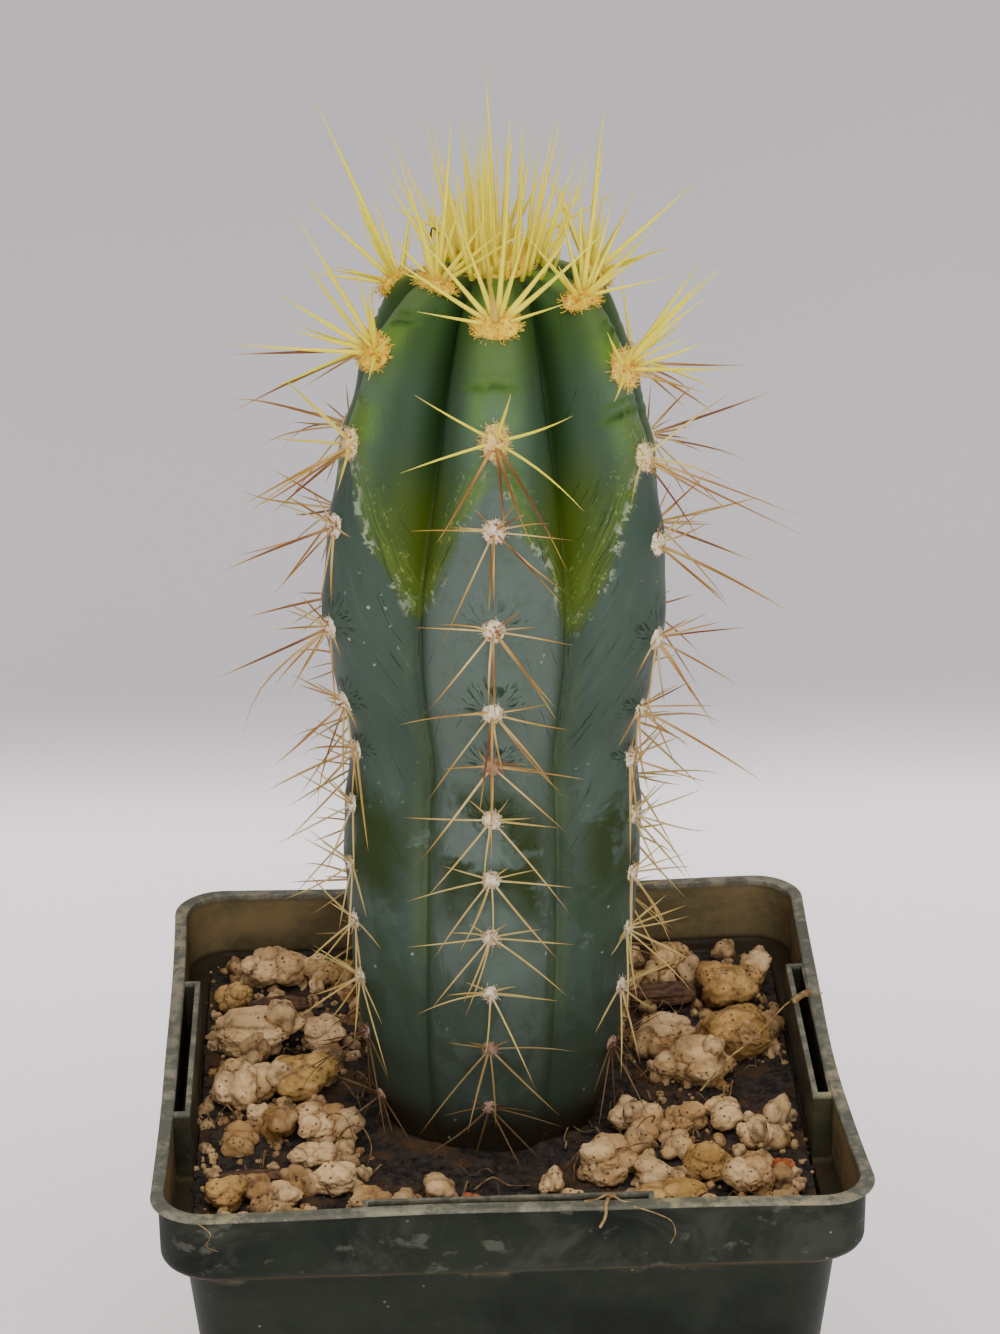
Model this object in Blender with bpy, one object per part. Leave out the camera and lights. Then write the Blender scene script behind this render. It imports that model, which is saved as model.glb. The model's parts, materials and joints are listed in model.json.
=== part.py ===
"""A ribbed columnar cactus in a square nursery pot, top-dressed with pumice.

Metres, +Z up. The origin is the middle of the pot's base, and the front rib faces -Y.
Every node is one closed body, and neighbours keep CLEARANCE between them.
"""

import math
import random

import bmesh
import bpy
from mathutils import Matrix, Vector, noise

MM = 0.001
CLEARANCE = 0.3 * MM  # gap left between pieces that touch

# --- the pot: a square injection-moulded nursery pot -------------------------------------
POT_HEIGHT = 85.0 * MM
LIP_WIDTH = 90.0 * MM  # across the flats of the top flange
LIP_OVERHANG = 0.9 * MM  # flange past the rim band
LIP_THICKNESS = 0.7 * MM
BAND_HEIGHT = 10.5 * MM  # the widened collar at the top
BAND_STEP = 2.9 * MM  # how far the collar stands out from the body
BAND_ROUND = 2.4 * MM  # rounding of the collar's lower edge
WALL = 0.8 * MM
FLOOR = 1.0 * MM
BODY_TAPER = 0.096  # inward run of each side for each unit of depth
CORNER_RADIUS = 6.5 * MM
SIDE_BOW = 0.6 * MM  # how far the middle of each side is drawn in at the top
BASE_EDGE = 1.5 * MM  # rounding where the sides meet the base
EDGE_STEPS = 3  # facets in the rounded edges of the base and of the collar
POCKET_LENGTH = 35.0 * MM  # label pocket in the middle of each side
POCKET_TAB = 0.7 * MM  # thickness of its inner tab and end webs
POCKET_DROP = 0.3 * MM  # tab top below the rim
POCKET_SETBACK = 0.15 * MM  # tab behind the edge of the ledge it stands on
POCKET_BITE = 0.4 * MM  # how far the pocket's webs run into the collar wall
DRAIN_RADIUS = 3.0 * MM
DRAIN_COUNT = 8
DRAIN_SIDES = 12
DRAIN_INSET = 11.0 * MM  # drain hole centres in from the base's flats

# --- the soil ---------------------------------------------------------------------------
SOIL_BELOW_RIM = 9.6 * MM
SOIL_MOUND = 0.5 * MM  # rise of the soil beside the stem
SOIL_FALL = 1.5  # power of the mound's slope
SOIL_LEVELS = (0.35, 0.70, 1.0)  # rings up the sides, as shares of the depth
SOIL_RINGS = (0.85, 0.70, 0.55, 0.35, 0.15)  # rings over the top, as shares of the half width

# --- the stem ---------------------------------------------------------------------------
STEM_HEIGHT = 117.3 * MM  # from the soil to the shoulder of the crown
STEM_RADIUS = 23.7 * MM  # to a rib's crest, at the widest
STEM_BURIED = 11.5 * MM
STEM_OFFSET = -1.1 * MM  # of the stem's axis at the soil, along X
STEM_LEAN = 0.0245  # sideways run along X for each unit of height
RIB_COUNT = 6
RIB_TURN = math.radians(-2.5)  # of the front rib away from -Y
# Crest outline from the soil up: share of STEM_HEIGHT, share of STEM_RADIUS.
CREST_OUTLINE = (
    (0.000, 0.615),
    (0.050, 0.705),
    (0.110, 0.770),
    (0.190, 0.822),
    (0.290, 0.860),
    (0.380, 0.876),
    (0.440, 0.858),
    (0.485, 0.843),
    (0.530, 0.893),
    (0.580, 0.955),
    (0.640, 1.000),
    (0.700, 0.990),
    (0.770, 0.945),
    (0.840, 0.865),
    (0.900, 0.785),
    (0.945, 0.690),
    (0.975, 0.560),
    (0.993, 0.400),
    (1.000, 0.220),
    (0.994, 0.080),
)
# Groove floor as a share of the crest radius: share of STEM_HEIGHT, share of the radius.
GROOVE_DEPTH = (
    (-0.040, 1.00),
    (0.020, 0.93),
    (0.080, 0.88),
    (0.210, 0.83),
    (0.340, 0.78),
    (0.470, 0.75),
    (0.600, 0.76),
    (0.690, 0.72),
    (0.780, 0.64),
    (0.880, 0.59),
    (0.940, 0.53),
    (0.975, 0.55),
    (0.993, 0.68),
    (1.000, 0.95),
)
GROOVE_SHARPNESS = 0.72  # below 1 the crests are round and the grooves are narrow
# Buried base: share of the radius at the soil, share of STEM_BURIED.
BURIED_OUTLINE = (
    (0.30, 1.00),
    (0.62, 0.86),
    (0.86, 0.45),
)
STEM_RINGS = 28
STEM_STEPS_PER_RIB = 6
CREST_SEARCH = 30  # halvings that find a height on the outline
CREST_TANGENT = 0.05  # outline points to each side that give the slope

# --- areoles and spines -----------------------------------------------------------------
# Heights of the areoles down the first rib, as shares of STEM_HEIGHT.
TIER_HEIGHTS = (
    0.995,
    0.932,
    0.836,
    0.748,
    0.634,
    0.543,
    0.483,
    0.418,
    0.346,
    0.276,
    0.204,
    0.131,
    0.060,
)
# How far each rib's areoles start down the first rib's spacing, from the front rib round by +X.
RIB_PHASES = (0.68, 0.20, 0.69, 0.20, 0.50, 0.00)
LOWEST_TIER = 0.055  # share of STEM_HEIGHT
YOUNG_TIERS = 2.0  # tiers whose wool is still thick
CUSHION_RADIUS = 1.25 * MM
CUSHION_HEIGHT = 0.9 * MM
YOUNG_CUSHION = 1.9  # times the size, at the crown
CUSHION_TOP = 0.42  # share of the cushion's radius left at its top
CUSHION_SIDES = 12
# One cluster: side of the cushion, counted from upwards, length, rise off the skin.
SPINES = (
    (1, 3.4 * MM, math.radians(20)),
    (2, 6.6 * MM, math.radians(22)),
    (3, 10.2 * MM, math.radians(26)),
    (4, 12.2 * MM, math.radians(31)),
    (5, 9.0 * MM, math.radians(40)),
    (7, 9.4 * MM, math.radians(38)),
    (8, 11.8 * MM, math.radians(29)),
    (9, 10.6 * MM, math.radians(24)),
    (10, 6.4 * MM, math.radians(20)),
    (11, 3.2 * MM, math.radians(22)),
)
CENTRAL_SPINE = 11.5 * MM
CENTRAL_SPINE_YOUNG = 15.0 * MM
CENTRAL_DROOP = 0.28  # lean of the central spine down the rib
CENTRAL_SWAY = 0.24  # its lean across the rib, left and right by turns
CENTRAL_VARIATION = (0.7, 1.2)  # seeded range of both leans
YOUNG_RISE = math.radians(22)  # extra rise of the spines at the crown
SPINE_SPREAD = 0.10  # seeded variation of the lengths
RUNNER_LIFT = 0.75 * MM  # height of the downward spine over the crest
RUNNER_WIDTH = 0.42 * MM
RUNNER_RINGS = (1 / 3, 2 / 3)  # where it is pinned to the crest between two areoles
SPINE_SOIL_GAP = 1.2 * MM  # least height of a spine tip over the soil
SPINE_SEED = 11

# --- the crown's woolly tip --------------------------------------------------------------
CROWN_RADIUS = 5.6 * MM
CROWN_HEIGHT = 2.6 * MM
CROWN_SPINE = 18.5 * MM
CROWN_SIDES = 14
# Rings of the woolly pad: share of CROWN_RADIUS, share of CROWN_HEIGHT.
CROWN_RINGS = (
    (1.00, 0.00),
    (1.00, 0.35),
    (0.70, 0.80),
    (0.30, 1.00),
)
# Spines over the pad's second and third rings: lean outwards, share of CROWN_SPINE.
CROWN_FAN = (
    (math.radians(27), 0.90),
    (math.radians(13), 1.00),
)
CROWN_VARIATION = (0.75, 1.1)  # seeded range of the lean

# --- the top dressing ---------------------------------------------------------------------
STONE_ROUGHNESS = 0.16
STONE_GRAIN = 3.1  # knobs across a stone
NOISE_SPAN = 50.0  # range of the seeded shifts through the noise
STONE_SINK = 0.30  # share of a stone's height cut off flat where it beds on the soil
STONE_SEED = 5
SMALL_STONE = 3.9  # millimetres; stones no longer than this are plain twenty-faced lumps
# Stones by place: X and Y from the pot's middle, length, breadth, height, turn, finish.
STONES = (
    (-31.0, 35.0, 8.6, 6.6, 6.6, 20, "pumice"),
    (-36.4, 27.0, 5.0, 4.4, 4.6, 80, "ochre"),
    (-24.4, 34.4, 5.2, 4.4, 4.4, 0, "pumice"),
    (-30.0, 24.4, 8.6, 4.0, 3.2, 8, "bark"),
    (-32.2, 15.6, 11.0, 8.0, 7.0, 25, "pumice"),
    (-23.6, 15.8, 4.8, 6.6, 4.6, 10, "pumice"),
    (-34.2, 1.6, 7.4, 8.6, 6.4, 30, "pumice"),
    (-26.2, 3.2, 7.6, 7.2, 5.8, 0, "ochre"),
    (-34.6, -11.0, 4.2, 4.4, 3.6, 40, "pumice"),
    (-29.4, -8.0, 4.2, 4.0, 3.6, 0, "ochre"),
    (-23.8, -9.2, 5.6, 5.6, 4.8, 60, "pumice"),
    (-24.8, -15.8, 5.6, 3.0, 3.0, 25, "pumice"),
    (-31.2, -20.4, 11.4, 2.2, 2.0, -4, "bark"),
    (-36.0, -25.4, 4.6, 4.8, 4.0, 0, "ochre"),
    (-33.0, -31.8, 3.6, 3.0, 2.6, 0, "pumice"),
    (-21.8, -22.2, 6.0, 4.6, 4.8, 15, "pumice"),
    (-28.4, -26.6, 4.6, 4.0, 3.4, 70, "pumice"),
    (-26.8, -32.6, 7.0, 3.6, 3.4, 0, "ochre"),
    (-17.2, -27.0, 4.6, 4.0, 3.2, 30, "pumice"),
    (-12.6, -27.4, 3.8, 3.2, 2.8, 0, "pumice"),
    (-8.2, -25.6, 3.6, 4.6, 3.6, 15, "pumice"),
    (-4.2, -28.6, 3.0, 2.6, 2.4, 0, "lava"),
    (1.6, -29.2, 2.6, 2.6, 2.4, 0, "pumice"),
    (6.0, -23.8, 2.6, 4.4, 2.8, 10, "pumice"),
    (9.0, -28.6, 3.2, 3.0, 2.4, 0, "pumice"),
    (13.6, -20.6, 6.6, 6.4, 5.6, 45, "pumice"),
    (17.6, -10.6, 6.0, 6.6, 5.2, 20, "pumice"),
    (19.4, -22.4, 4.2, 4.0, 3.6, 0, "pumice"),
    (23.0, -16.0, 4.2, 4.0, 3.4, 35, "pumice"),
    (24.6, -8.8, 4.8, 4.0, 4.0, 0, "pumice"),
    (29.6, -9.6, 4.2, 4.6, 4.4, 15, "pumice"),
    (26.2, -21.2, 6.2, 5.4, 4.6, 30, "ochre"),
    (20.6, -28.6, 8.4, 5.0, 3.8, 0, "ochre"),
    (26.6, -31.6, 4.6, 3.0, 2.8, 0, "pumice"),
    (33.4, -14.2, 4.2, 5.2, 4.2, 0, "pumice"),
    (31.4, -26.4, 5.4, 6.2, 5.4, 30, "pumice"),
    (36.4, -22.4, 2.8, 3.0, 2.6, 0, "lava"),
    (26.4, 4.4, 9.8, 9.2, 7.0, 15, "pumice"),
    (33.0, 11.6, 7.6, 7.6, 6.8, 0, "ochre"),
    (24.0, 14.4, 7.6, 5.0, 4.4, 5, "pumice"),
    (33.6, 26.0, 8.0, 7.6, 6.4, 0, "ochre"),
    (24.0, 24.4, 9.0, 4.2, 3.6, 12, "bark"),
    (26.0, 35.0, 6.0, 5.0, 4.6, 30, "pumice"),
    (12.0, 30.0, 7.0, 5.6, 5.2, 50, "pumice"),
    (2.0, 34.0, 6.4, 5.0, 4.6, 10, "ochre"),
    (-9.4, 30.6, 7.2, 5.8, 5.2, 75, "pumice"),
    (-16.6, 36.4, 5.0, 4.4, 4.0, 0, "pumice"),
)
STONE_FIELD = 40.4 * MM  # half width of the soil that STONES was laid out on
STONE_ROOM = 26.0 * MM  # and the room it had between the stem and the wall
SHARP_ANGLE = math.radians(35)  # edges sharper than this aren't shaded smooth

# --- colours and finishes -----------------------------------------------------------------
FINISHES = {
    "pot_plastic": ((0.028, 0.033, 0.031), 0.48),
    "soil": ((0.030, 0.020, 0.014), 0.95),
    "stem_skin": ((0.070, 0.150, 0.090), 0.55),
    "spines": ((0.640, 0.440, 0.160), 0.50),
    "pumice": ((0.620, 0.490, 0.350), 0.95),
    "ochre": ((0.470, 0.290, 0.120), 0.95),
    "lava": ((0.420, 0.110, 0.050), 0.95),
    "bark": ((0.160, 0.085, 0.050), 0.90),
}

# --- derived sizes ------------------------------------------------------------------------
BAND_HALF = LIP_WIDTH / 2 - LIP_OVERHANG
BODY_TOP_HALF = BAND_HALF - BAND_STEP
BAND_BOTTOM = POT_HEIGHT - BAND_HEIGHT
LEDGE_TOP = BAND_BOTTOM + WALL
SOIL_TOP = POT_HEIGHT - SOIL_BELOW_RIM


def body_half(height):
    """Half width of the pot body's outside at a height."""
    return BODY_TOP_HALF - BODY_TAPER * (BAND_BOTTOM - height)


def between(table, at):
    """Linear reading of a table of (place, value) pairs."""
    if at <= table[0][0]:
        return table[0][1]
    for (low, first), (high, second) in zip(table, table[1:]):
        if at <= high:
            return first + (second - first) * (at - low) / (high - low)
    return table[-1][1]


def smooth_point(points, at):
    """Catmull-Rom reading of a list of tuples, at a place counted in points."""
    last = len(points) - 1
    index = min(int(at), last - 1)
    share = at - index
    a, b, c, d = (points[max(0, min(last, index + step))] for step in (-1, 0, 1, 2))
    result = []
    for p, q, r, s in zip(a, b, c, d):
        slope_in = (r - p) / 2
        slope_out = (s - q) / 2
        cubic = 2 * (q - r) + slope_in + slope_out
        square = 3 * (r - q) - 2 * slope_in - slope_out
        result.append(((cubic * share + square) * share + slope_in) * share + q)
    return result


# --- meshes and materials -----------------------------------------------------------------
def finish_material(name):
    """The Principled material of one finish."""
    if name in bpy.data.materials:
        return bpy.data.materials[name]
    colour, roughness = FINISHES[name]
    material = bpy.data.materials.new(name)
    material.use_nodes = True
    shader = material.node_tree.nodes["Principled BSDF"]
    shader.inputs["Base Color"].default_value = (*colour, 1.0)
    shader.inputs["Roughness"].default_value = roughness
    shader.inputs["Metallic"].default_value = 0.0
    material.diffuse_color = (*colour, 1.0)
    return material


def node_from(name, shape, finish, smooth=True):
    """An object from a bmesh, with outward faces and its own material."""
    bmesh.ops.recalc_face_normals(shape, faces=shape.faces)
    mesh = bpy.data.meshes.new(name)
    shape.to_mesh(mesh)
    shape.free()
    if smooth:
        mesh.shade_smooth()
        mesh.set_sharp_from_angle(angle=SHARP_ANGLE)
    mesh.materials.append(finish_material(finish))
    made = bpy.data.objects.new(name, mesh)
    bpy.context.scene.collection.objects.link(made)
    return made


def add_boolean(target, cutter, operation):
    """A Boolean modifier that reads a hidden helper."""
    cutter.hide_render = True
    cutter.display_type = "WIRE"
    modifier = target.modifiers.new(cutter.name, "BOOLEAN")
    modifier.operation = operation
    modifier.solver = "EXACT"
    modifier.object = cutter
    return modifier


def bridge(shape, lower, upper):
    """Quads between two rings of as many vertices."""
    count = len(lower)
    for index in range(count):
        after = (index + 1) % count
        shape.faces.new((lower[index], lower[after], upper[after], upper[index]))


def loft(shape, rings):
    """A closed body through rings of points, capped at both ends."""
    made = [[shape.verts.new(point) for point in ring] for ring in rings]
    for lower, upper in zip(made, made[1:]):
        bridge(shape, lower, upper)
    shape.faces.new(reversed(made[0]))
    shape.faces.new(made[-1])
    return made


def add_box(shape, low, high):
    """An axis-aligned box in a bmesh."""
    size = [b - a for a, b in zip(low, high)]
    middle = [(a + b) / 2 for a, b in zip(low, high)]
    place = Matrix.Translation(middle) @ Matrix.Diagonal((*size, 1.0))
    bmesh.ops.create_cube(shape, size=1.0, matrix=place)


# --- the pot ------------------------------------------------------------------------------
def rounded_square(half, height, corner, bow=0.0, corner_steps=4, side_steps=4):
    """Points of a square with round corners, its sides drawn in by bow at the middle."""
    straight = half - corner
    points = []
    for side in range(4):
        turn = Matrix.Rotation(side * math.pi / 2, 3, "Z")
        for step in range(side_steps):
            along = -1 + 2 * step / side_steps
            points.append(turn @ Vector((half - bow * (1 - along**2), along * straight, height)))
        for step in range(corner_steps):
            angle = step / corner_steps * math.pi / 2
            reach = Vector((math.cos(angle), math.sin(angle), 0)) * corner
            points.append(turn @ (Vector((straight, straight, height)) + reach))
    return points


def pot_outline():
    """Rings of the pot's outside, from the base to the lip."""
    rings = []
    for step in range(EDGE_STEPS + 1):
        angle = step / EDGE_STEPS * math.pi / 2
        inset = BASE_EDGE * (1 - math.sin(angle))
        height = BASE_EDGE * (1 - math.cos(angle))
        rings.append(rounded_square(body_half(height) - inset, height, CORNER_RADIUS - inset))
    rings.append(rounded_square(BODY_TOP_HALF, BAND_BOTTOM, CORNER_RADIUS))
    for step in range(EDGE_STEPS):
        angle = (step + 1) / EDGE_STEPS * math.pi / 2
        half = BAND_HALF - BAND_ROUND * (1 - math.sin(angle))
        height = BAND_BOTTOM + BAND_ROUND * (1 - math.cos(angle))
        rings.append(rounded_square(half, height, CORNER_RADIUS, SIDE_BOW * step / EDGE_STEPS))
    lip_under = POT_HEIGHT - LIP_THICKNESS
    rings.append(rounded_square(BAND_HALF, lip_under, CORNER_RADIUS, SIDE_BOW))
    rings.append(rounded_square(LIP_WIDTH / 2, lip_under, CORNER_RADIUS, SIDE_BOW))
    rings.append(rounded_square(LIP_WIDTH / 2, POT_HEIGHT, CORNER_RADIUS, SIDE_BOW))
    return rings


def pot_cavity():
    """The space inside: the body's, and the wider one inside the collar."""
    body = bmesh.new()
    inner_corner = CORNER_RADIUS - WALL
    over = POT_HEIGHT + BAND_HEIGHT
    loft(
        body,
        [
            rounded_square(body_half(FLOOR) - WALL, FLOOR, inner_corner),
            rounded_square(BODY_TOP_HALF - WALL, LEDGE_TOP, inner_corner),
            rounded_square(BAND_HALF - WALL, LEDGE_TOP, inner_corner, SIDE_BOW),
            rounded_square(BAND_HALF - WALL, over, inner_corner, SIDE_BOW),
        ],
    )
    return node_from("cavity_cutter", body, "pot_plastic", smooth=False)


def pocket_boxes(name, inner, outer, half_length, low, high):
    """One box on each of the four sides, in one helper."""
    shape = bmesh.new()
    for side in range(4):
        start = len(shape.verts)
        add_box(shape, (inner, -half_length, low), (outer, half_length, high))
        shape.verts.ensure_lookup_table()
        turn = Matrix.Rotation(side * math.pi / 2, 3, "Z")
        bmesh.ops.rotate(shape, verts=shape.verts[start:], matrix=turn)
    return node_from(name, shape, "pot_plastic", smooth=False)


def drain_holes():
    """Round drain holes near the base's edge."""
    shape = bmesh.new()
    ring = body_half(0.0) - DRAIN_INSET
    for index in range(DRAIN_COUNT):
        angle = 2 * math.pi * index / DRAIN_COUNT
        reach = ring / max(abs(math.cos(angle)), abs(math.sin(angle)))
        place = Matrix.Translation((reach * math.cos(angle), reach * math.sin(angle), 0))
        bmesh.ops.create_cone(
            shape,
            cap_ends=True,
            segments=DRAIN_SIDES,
            radius1=DRAIN_RADIUS,
            radius2=DRAIN_RADIUS,
            depth=FLOOR + 2 * BASE_EDGE,
            matrix=place,
        )
    return node_from("drain_cutter", shape, "pot_plastic", smooth=False)


def make_pot():
    """The pot with its collar, lip, four label pockets and drain holes."""
    shape = bmesh.new()
    loft(shape, pot_outline())
    pot = node_from("pot", shape, "pot_plastic")
    add_boolean(pot, pot_cavity(), "DIFFERENCE")
    tab_inner = BODY_TOP_HALF - WALL + POCKET_SETBACK
    band_inner = BAND_HALF - WALL - SIDE_BOW
    half = POCKET_LENGTH / 2
    tab_top = POT_HEIGHT - POCKET_DROP
    web = half + POCKET_TAB
    reach = band_inner + POCKET_BITE
    root = LEDGE_TOP - WALL / 2
    blocks = pocket_boxes("pocket_block", tab_inner, reach, web, root, tab_top)
    add_boolean(pot, blocks, "UNION")
    slot_inner = tab_inner + POCKET_TAB
    slots = pocket_boxes("pocket_slot", slot_inner, band_inner, half, LEDGE_TOP, POT_HEIGHT + WALL)
    add_boolean(pot, slots, "DIFFERENCE")
    add_boolean(pot, drain_holes(), "DIFFERENCE")
    return pot


# --- the stem -----------------------------------------------------------------------------
def crest(place):
    """Height over the soil and radius of a rib's crest, at a place counted in outline points."""
    share, radius = smooth_point(CREST_OUTLINE, place)
    return share * STEM_HEIGHT, radius * STEM_RADIUS


def crest_place(share):
    """The place along the outline where the crest passes a share of the height, from below."""
    low, high = 0.0, len(CREST_OUTLINE) - 2.0
    for _ in range(CREST_SEARCH):
        middle = (low + high) / 2
        if crest(middle)[0] < share * STEM_HEIGHT:
            low = middle
        else:
            high = middle
    return low


def axis_point(height):
    """A point of the stem's axis, at a height over the soil."""
    return Vector((STEM_OFFSET + STEM_LEAN * height, 0.0, SOIL_TOP + height))


def rib_direction(angle):
    """Outwards, at an angle round the stem from the front."""
    return Vector((math.sin(angle), -math.cos(angle), 0.0))


def stem_radius(height, radius, angle):
    """Radius of the skin at an angle from the nearest crest."""
    floor = between(GROOVE_DEPTH, height / STEM_HEIGHT)
    rise = abs(math.cos(angle * RIB_COUNT / 2)) ** GROOVE_SHARPNESS
    return radius * (floor + (1 - floor) * rise)


def stem_ring(height, radius, grow):
    """One ring of the stem's skin."""
    count = RIB_COUNT * STEM_STEPS_PER_RIB
    points = []
    for index in range(count):
        angle = 2 * math.pi * index / count
        reach = stem_radius(height, radius, angle) + grow
        points.append(axis_point(height) + rib_direction(angle + RIB_TURN) * reach)
    return points


def stem_shape(grow=0.0):
    """The stem from its buried base to its crown, swollen by grow."""
    shape = bmesh.new()
    collar_radius = CREST_OUTLINE[0][1] * STEM_RADIUS
    rings = []
    for share, sink in BURIED_OUTLINE:
        rings.append(stem_ring(-STEM_BURIED * sink - grow, collar_radius * share, grow))
    last = len(CREST_OUTLINE) - 1
    for index in range(STEM_RINGS + 1):
        height, radius = crest(last * index / STEM_RINGS)
        rings.append(stem_ring(height, radius, grow))
    loft(shape, rings)
    return shape


def make_stem():
    """The stem, one grown piece."""
    return node_from("stem", stem_shape(), "stem_skin")


# --- the soil -----------------------------------------------------------------------------
def soil_height(x, y):
    """Height of the soil's surface."""
    reach = math.hypot(x - STEM_OFFSET, y) / (BODY_TOP_HALF - WALL)
    return SOIL_TOP + SOIL_MOUND * max(0.0, 1 - reach) ** SOIL_FALL


def make_soil():
    """The soil, with the seat of the stem cut into it."""
    shape = bmesh.new()
    corner = CORNER_RADIUS - WALL - CLEARANCE
    bottom = FLOOR + CLEARANCE

    def inside(height):
        return body_half(height) - WALL - CLEARANCE

    rings = [rounded_square(inside(bottom), bottom, corner)]
    for share in SOIL_LEVELS:
        height = bottom + (SOIL_TOP - bottom) * share
        rings.append(rounded_square(inside(height), height, corner))
    top_half = inside(SOIL_TOP)
    for share in SOIL_RINGS:
        ring = rounded_square(top_half * share, SOIL_TOP, corner * share)
        for point in ring:
            point.z = soil_height(point.x, point.y)
        rings.append(ring)
    loft(shape, rings)
    soil = node_from("soil", shape, "soil")
    seat = node_from("stem_seat_cutter", stem_shape(CLEARANCE), "soil", smooth=False)
    add_boolean(soil, seat, "DIFFERENCE")
    return soil


# --- areoles and spines -------------------------------------------------------------------
def areole_frame(share, rib):
    """Place on a rib's crest with its across, up and outward directions."""
    angle = 2 * math.pi * rib / RIB_COUNT + RIB_TURN
    out = rib_direction(angle)
    place = crest_place(share)
    height, radius = crest(place)
    above = crest(place + CREST_TANGENT)
    below = crest(place - CREST_TANGENT)
    up = out * (above[1] - below[1]) + Vector((0, 0, above[0] - below[0]))
    up.normalize()
    across = up.cross(out).normalized()
    normal = across.cross(up)
    if normal.dot(out + Vector((0, 0, 1))) < 0:
        normal.negate()
    return axis_point(height) + out * radius, across, up, normal


def tiers_of(rib):
    """Shares of the stem's height at which one rib carries its areoles, from the top down."""
    shares = []
    for index in range(len(TIER_HEIGHTS)):
        place = index + RIB_PHASES[rib]
        if place > len(TIER_HEIGHTS) - 1:
            break
        low = int(place)
        high = min(low + 1, len(TIER_HEIGHTS) - 1)
        share = TIER_HEIGHTS[low] + (TIER_HEIGHTS[high] - TIER_HEIGHTS[low]) * (place - low)
        if share >= LOWEST_TIER:
            shares.append((place, share))
    return shares


def spine_tip(start, direction, length):
    """End of a spine, shortened where it would reach the soil."""
    floor = SOIL_TOP + SOIL_MOUND + SPINE_SOIL_GAP
    if direction.z < 0:
        length = min(length, max(0.0, start.z - floor) / -direction.z)
    return start + direction * length


def add_cluster(shape, frame, age, sway, chooser):
    """A cushion with its spines. Returns the side faces left for the runners."""
    centre, across, up, normal = frame
    youth = max(0.0, 1 - age / YOUNG_TIERS)
    size = 1 + (YOUNG_CUSHION - 1) * youth
    radius = CUSHION_RADIUS * size
    low = centre + normal * CLEARANCE
    high = low + normal * CUSHION_HEIGHT * size

    def ring(middle, reach):
        points = []
        for index in range(CUSHION_SIDES):
            angle = 2 * math.pi * (index - 0.5) / CUSHION_SIDES
            points.append(middle + (up * math.cos(angle) + across * math.sin(angle)) * reach)
        return [shape.verts.new(point) for point in points]

    lower = ring(low, radius)
    upper = ring(high, radius * CUSHION_TOP)
    shape.faces.new(reversed(lower))
    sides = []
    for index in range(CUSHION_SIDES):
        after = (index + 1) % CUSHION_SIDES
        sides.append((lower[index], lower[after], upper[after], upper[index]))
    for side, length, rise in SPINES:
        corners = sides[side]
        start = sum((corner.co for corner in corners), Vector()) / len(corners)
        angle = 2 * math.pi * side / CUSHION_SIDES
        flat = up * math.cos(angle) + across * math.sin(angle)
        lift = rise + YOUNG_RISE * youth
        direction = flat * math.cos(lift) + normal * math.sin(lift)
        length *= 1 + SPINE_SPREAD * chooser.uniform(-1, 1)
        tip = shape.verts.new(spine_tip(start, direction, length))
        for first, second in zip(corners, corners[1:] + corners[:1]):
            shape.faces.new((first, second, tip))
    drop = up * CENTRAL_DROOP * chooser.uniform(*CENTRAL_VARIATION)
    aside = across * sway * chooser.uniform(*CENTRAL_VARIATION)
    direction = (normal - drop + aside).normalized()
    reach = CENTRAL_SPINE + (CENTRAL_SPINE_YOUNG - CENTRAL_SPINE) * youth
    reach *= 1 + SPINE_SPREAD * chooser.uniform(-1, 1)
    tip = shape.verts.new(spine_tip(high, direction, reach))
    for index in range(CUSHION_SIDES):
        shape.faces.new((upper[index], upper[(index + 1) % CUSHION_SIDES], tip))
    return sides[0], sides[CUSHION_SIDES // 2]


def add_runner(shape, rib, above, below, first, second):
    """The spine that runs straight down the crest into the next areole's wool."""
    rings = [list(first)]
    for share in RUNNER_RINGS:
        centre, across, _, normal = areole_frame(above + (below - above) * share, rib)
        middle = centre + normal * (CLEARANCE + RUNNER_LIFT)
        wide = across * RUNNER_WIDTH / 2
        tall = normal * RUNNER_WIDTH / 2
        lower = (middle + wide - tall, middle - wide - tall)
        upper = (middle - wide + tall, middle + wide + tall)
        rings.append([shape.verts.new(corner) for corner in lower + upper])
    entry = [second[1], second[0], second[3], second[2]]
    rings.append(entry)
    for lower, upper in zip(rings, rings[1:]):
        bridge(shape, lower, upper)


def make_rib_spines(rib):
    """All the areoles of one rib, joined by their runners into one body."""
    shape = bmesh.new()
    chooser = random.Random(SPINE_SEED + rib)
    tiers = tiers_of(rib)
    waiting = None
    sway = CENTRAL_SWAY
    for age, share in tiers:
        frame = areole_frame(share, rib)
        top_side, bottom_side = add_cluster(shape, frame, age, sway, chooser)
        sway = -sway
        if waiting is None:
            shape.faces.new(top_side)
        else:
            add_runner(shape, rib, waiting[0], share, waiting[1], top_side)
        waiting = (share, bottom_side)
    shape.faces.new(waiting[1])
    return node_from(f"spines_rib_{rib + 1}", shape, "spines", smooth=False)


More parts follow.
